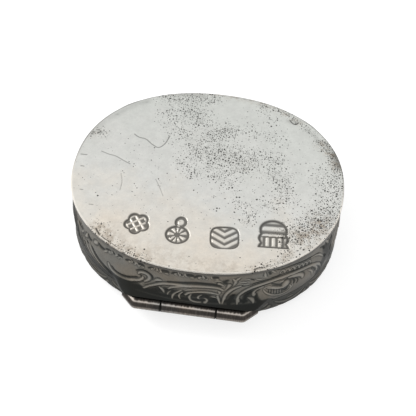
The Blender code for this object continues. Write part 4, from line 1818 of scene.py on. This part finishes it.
def drill_end(piece, end_x, shoulder):
    """Sets the bore into a flat end. A shoulder fills the slit between two knuckles."""
    pick(piece)
    bpy.ops.object.mode_set(mode="EDIT")
    bpy.ops.mesh.select_mode(type="FACE")
    bpy.ops.mesh.select_all(action="DESELECT")
    bpy.ops.object.mode_set(mode="OBJECT")
    for face in piece.data.polygons:
        flat = abs(abs(face.normal.x) - 1) < flat_tilt
        face.select = flat and abs(face.center.x - end_x) < flat_gap
    bpy.ops.object.mode_set(mode="EDIT")
    middle_x = sum(v.co.x for v in piece.data.vertices) / len(piece.data.vertices)
    inward = math.copysign(bore_depth, middle_x - end_x)
    if shoulder:
        bpy.ops.mesh.inset(thickness=shoulder_inset, depth=0)
        step = math.copysign(shoulder_reach, end_x - middle_x)
        bpy.ops.mesh.extrude_region_move(TRANSFORM_OT_translate={"value": (step, 0, 0)})
        bpy.ops.mesh.inset(thickness=barrel_radius - bore_radius - shoulder_inset, depth=0)
    else:
        bpy.ops.mesh.inset(thickness=barrel_radius - bore_radius, depth=0)
    bpy.ops.mesh.extrude_region_move(TRANSFORM_OT_translate={"value": (inward, 0, 0)})
    bpy.ops.object.mode_set(mode="OBJECT")
    print(piece.name, "is drilled at x", round(end_x / mm, 2), "mm")


print("bores are", round(2 * bore_radius / mm, 2), "mm wide")

# %% Painted light round the tube: shade at the back, a highlight on the ridge, reflection bands on the face
tube_degrees = (
    -180, -150, -95, -45, -20, -5, 3, 9, 15, 21, 38, 47, 52, 57, 64, 70, 78, 92, 180,
)
tube_painted_light_tones = (
    0.1, 0.3, 0.5, 0.45, 0.62, 0.60, 0.56, 0.50, 0.28, 0.19, 0.23, 0.28, 0.5, 1.0, 0.92, 0.44,
    0.16, 0.05, 0.02,
)
ridge_degrees = 57
ragged_degrees = 9
ragged_blend = 6
ragged_length = 0.2 * mm
ragged_layer = (0.4, 1.7)
end_tone = -0.6


def knuckle_tones(piece, ends):
    """Painted light from the place round the tube: a ragged highlight, reflection bands and shade,
    with dark cut ends.
    """
    mesh = piece.data
    degrees = (read_value(mesh, "round") * 360 + 180) % 360 - 180
    along = read_points(mesh)[:, 0]
    ragged = np.array([noise.noise((place / ragged_length, *ragged_layer)) for place in along])
    above_ridge = np.clip((degrees - ridge_degrees) / ragged_blend, 0, 1)
    moved = degrees - ragged_degrees * ragged * above_ridge
    tone = np.interp(moved, tube_degrees, tube_painted_light_tones)
    for end in ends:
        tone = end_tone + (tone - end_tone) * np.interp(np.abs(along - end), end_steps, (0, 1))
    store_value(mesh, "tone", tone)
    print(piece.name, "has tones from", round(tone.min(), 2), "to", round(tone.max(), 2))


# The bright ridge is a painted highlight.
print("the ridge is rubbed bright from about", ridge_degrees, "degrees up the tube")

# %% The three knuckles
for piece, ends in (
    (left_knuckle, [-right_start]),
    (right_knuckle, [right_start]),
    (centre_knuckle, centre_ends),
):
    for end in ends:
        drill_end(piece, end, piece is centre_knuckle)
    knuckle_tones(piece, ends)
finish_piece(left_knuckle, "box_body", hinge_silver,
             ["outer_knuckle_left", "hinge_plug_left"])
finish_piece(right_knuckle, "box_body", hinge_silver,
             ["outer_knuckle_right", "hinge_plug_right"])
finish_piece(centre_knuckle, "lid", hinge_silver, ["centre_knuckle"])

# %% [markdown]
# A flat plate closes each mouth, and its lug carries the hinge. The real lugs are filed
# back until they hide behind the tube's ends. Each plate is copied for that, its loose
# triangles are joined, and the lug's outermost corners are pushed in along the hinge.

# %% Mouth plates with filed lugs
lug_filing = 0.35 * mm
lug_tip_x = 10.5 * mm
lug_tip_y = -19.0 * mm
lug_tarnish_and_shade = 0.22
merge_gap = 0.001 * mm


def filed_plate(name, node, body, level):
    """A copy of a mouth plate whose lug is a little shorter at both ends."""
    plate = bpy.data.objects.new(name, frame["nodes"][node].data.copy())
    plate.data.name = name
    scene.collection.objects.link(plate)
    pick(plate)
    bpy.ops.object.mode_set(mode="EDIT")
    bpy.ops.mesh.select_all(action="SELECT")
    bpy.ops.mesh.remove_doubles(threshold=merge_gap)
    bpy.ops.object.mode_set(mode="OBJECT")
    places = read_points(plate.data)
    tips = (np.abs(places[:, 0]) > lug_tip_x) & (places[:, 1] < lug_tip_y)
    places[tips, 0] -= np.sign(places[tips, 0]) * lug_filing
    write_points(plate.data, places)
    store_value(plate.data, "tone", [level] * len(places))
    finish_piece(plate, body, wall_silver, [node])


# The body plate is darker: tarnish and painted shade on the lug under the wall's flare.
filed_plate("filed_body_plate", "body_mouth_plate", "box_body", lug_tarnish_and_shade)
filed_plate("filed_lid_plate", "lid_mouth_plate", "lid", plain_tone)

# %% [markdown]
# The thumb piece is hidden in the photograph. A small fluted shell lip is what such
# boxes carry. A ball is squeezed flat, cut off where it meets the band, and its round
# edge is pulled in between the flutes.

# %% Thumb piece
lip_low, lip_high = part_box("thumb_piece")
lip_flutes = 9
lip_scallop = 0.06
lip_flute_depth = 0.22
lip_flute_start = 1.6
lip_hollow_tone = 0.30
lip_ridge_tone = 0.42
pick_nothing()
bpy.ops.mesh.primitive_uv_sphere_add(segments=144, ring_count=40, radius=1)
lip = bpy.context.object
lip.name = "shell_lip"
lip_places = read_points(lip.data)
fan = np.arctan2(lip_places[:, 1], lip_places[:, 0])
ridge = np.abs(np.cos(fan * lip_flutes / 2))
reach = np.hypot(lip_places[:, 0], lip_places[:, 1])
narrow = 1 - lip_scallop * (1 - ridge) * reach
lip_root = lip_low.y
lip_reach = lip_high.y - lip_root
lip_places[:, 0] *= narrow * lip_high.x
lip_places[:, 1] = lip_root + np.maximum(lip_places[:, 1], 0) * narrow * lip_reach
fluting = lip_flute_depth * (1 - ridge) * np.clip(reach * lip_flute_start, 0, 1)
thick = (lip_high.z - lip_low.z) / 2 * (1 - fluting)
lip_places[:, 2] = (lip_high.z + lip_low.z) / 2 + lip_places[:, 2] * thick
write_points(lip.data, lip_places)
store_value(lip.data, "tone", lip_hollow_tone + lip_ridge_tone * ridge)
finish_piece(lip, "lid", wall_silver, ["thumb_piece"])

# %% [markdown]
# The remaining solids are plain plates and collars with the right shape already. They
# keep their meshes and only get a finish.

# %% Finish of the plain solids
plain_finishes = {
    "body_bezel": inner_silver,
    "hinge_pin": hinge_silver,
    "lid_panel": inner_silver,
    "lid_border": inner_silver,
}
for name, material in plain_finishes.items():
    node = frame["nodes"][name]
    node.data.materials.clear()
    node.data.materials.append(material)
    store_value(node.data, "tone", [plain_tone] * len(node.data.vertices))
print("finished:", ", ".join(sorted(plain_finishes)))
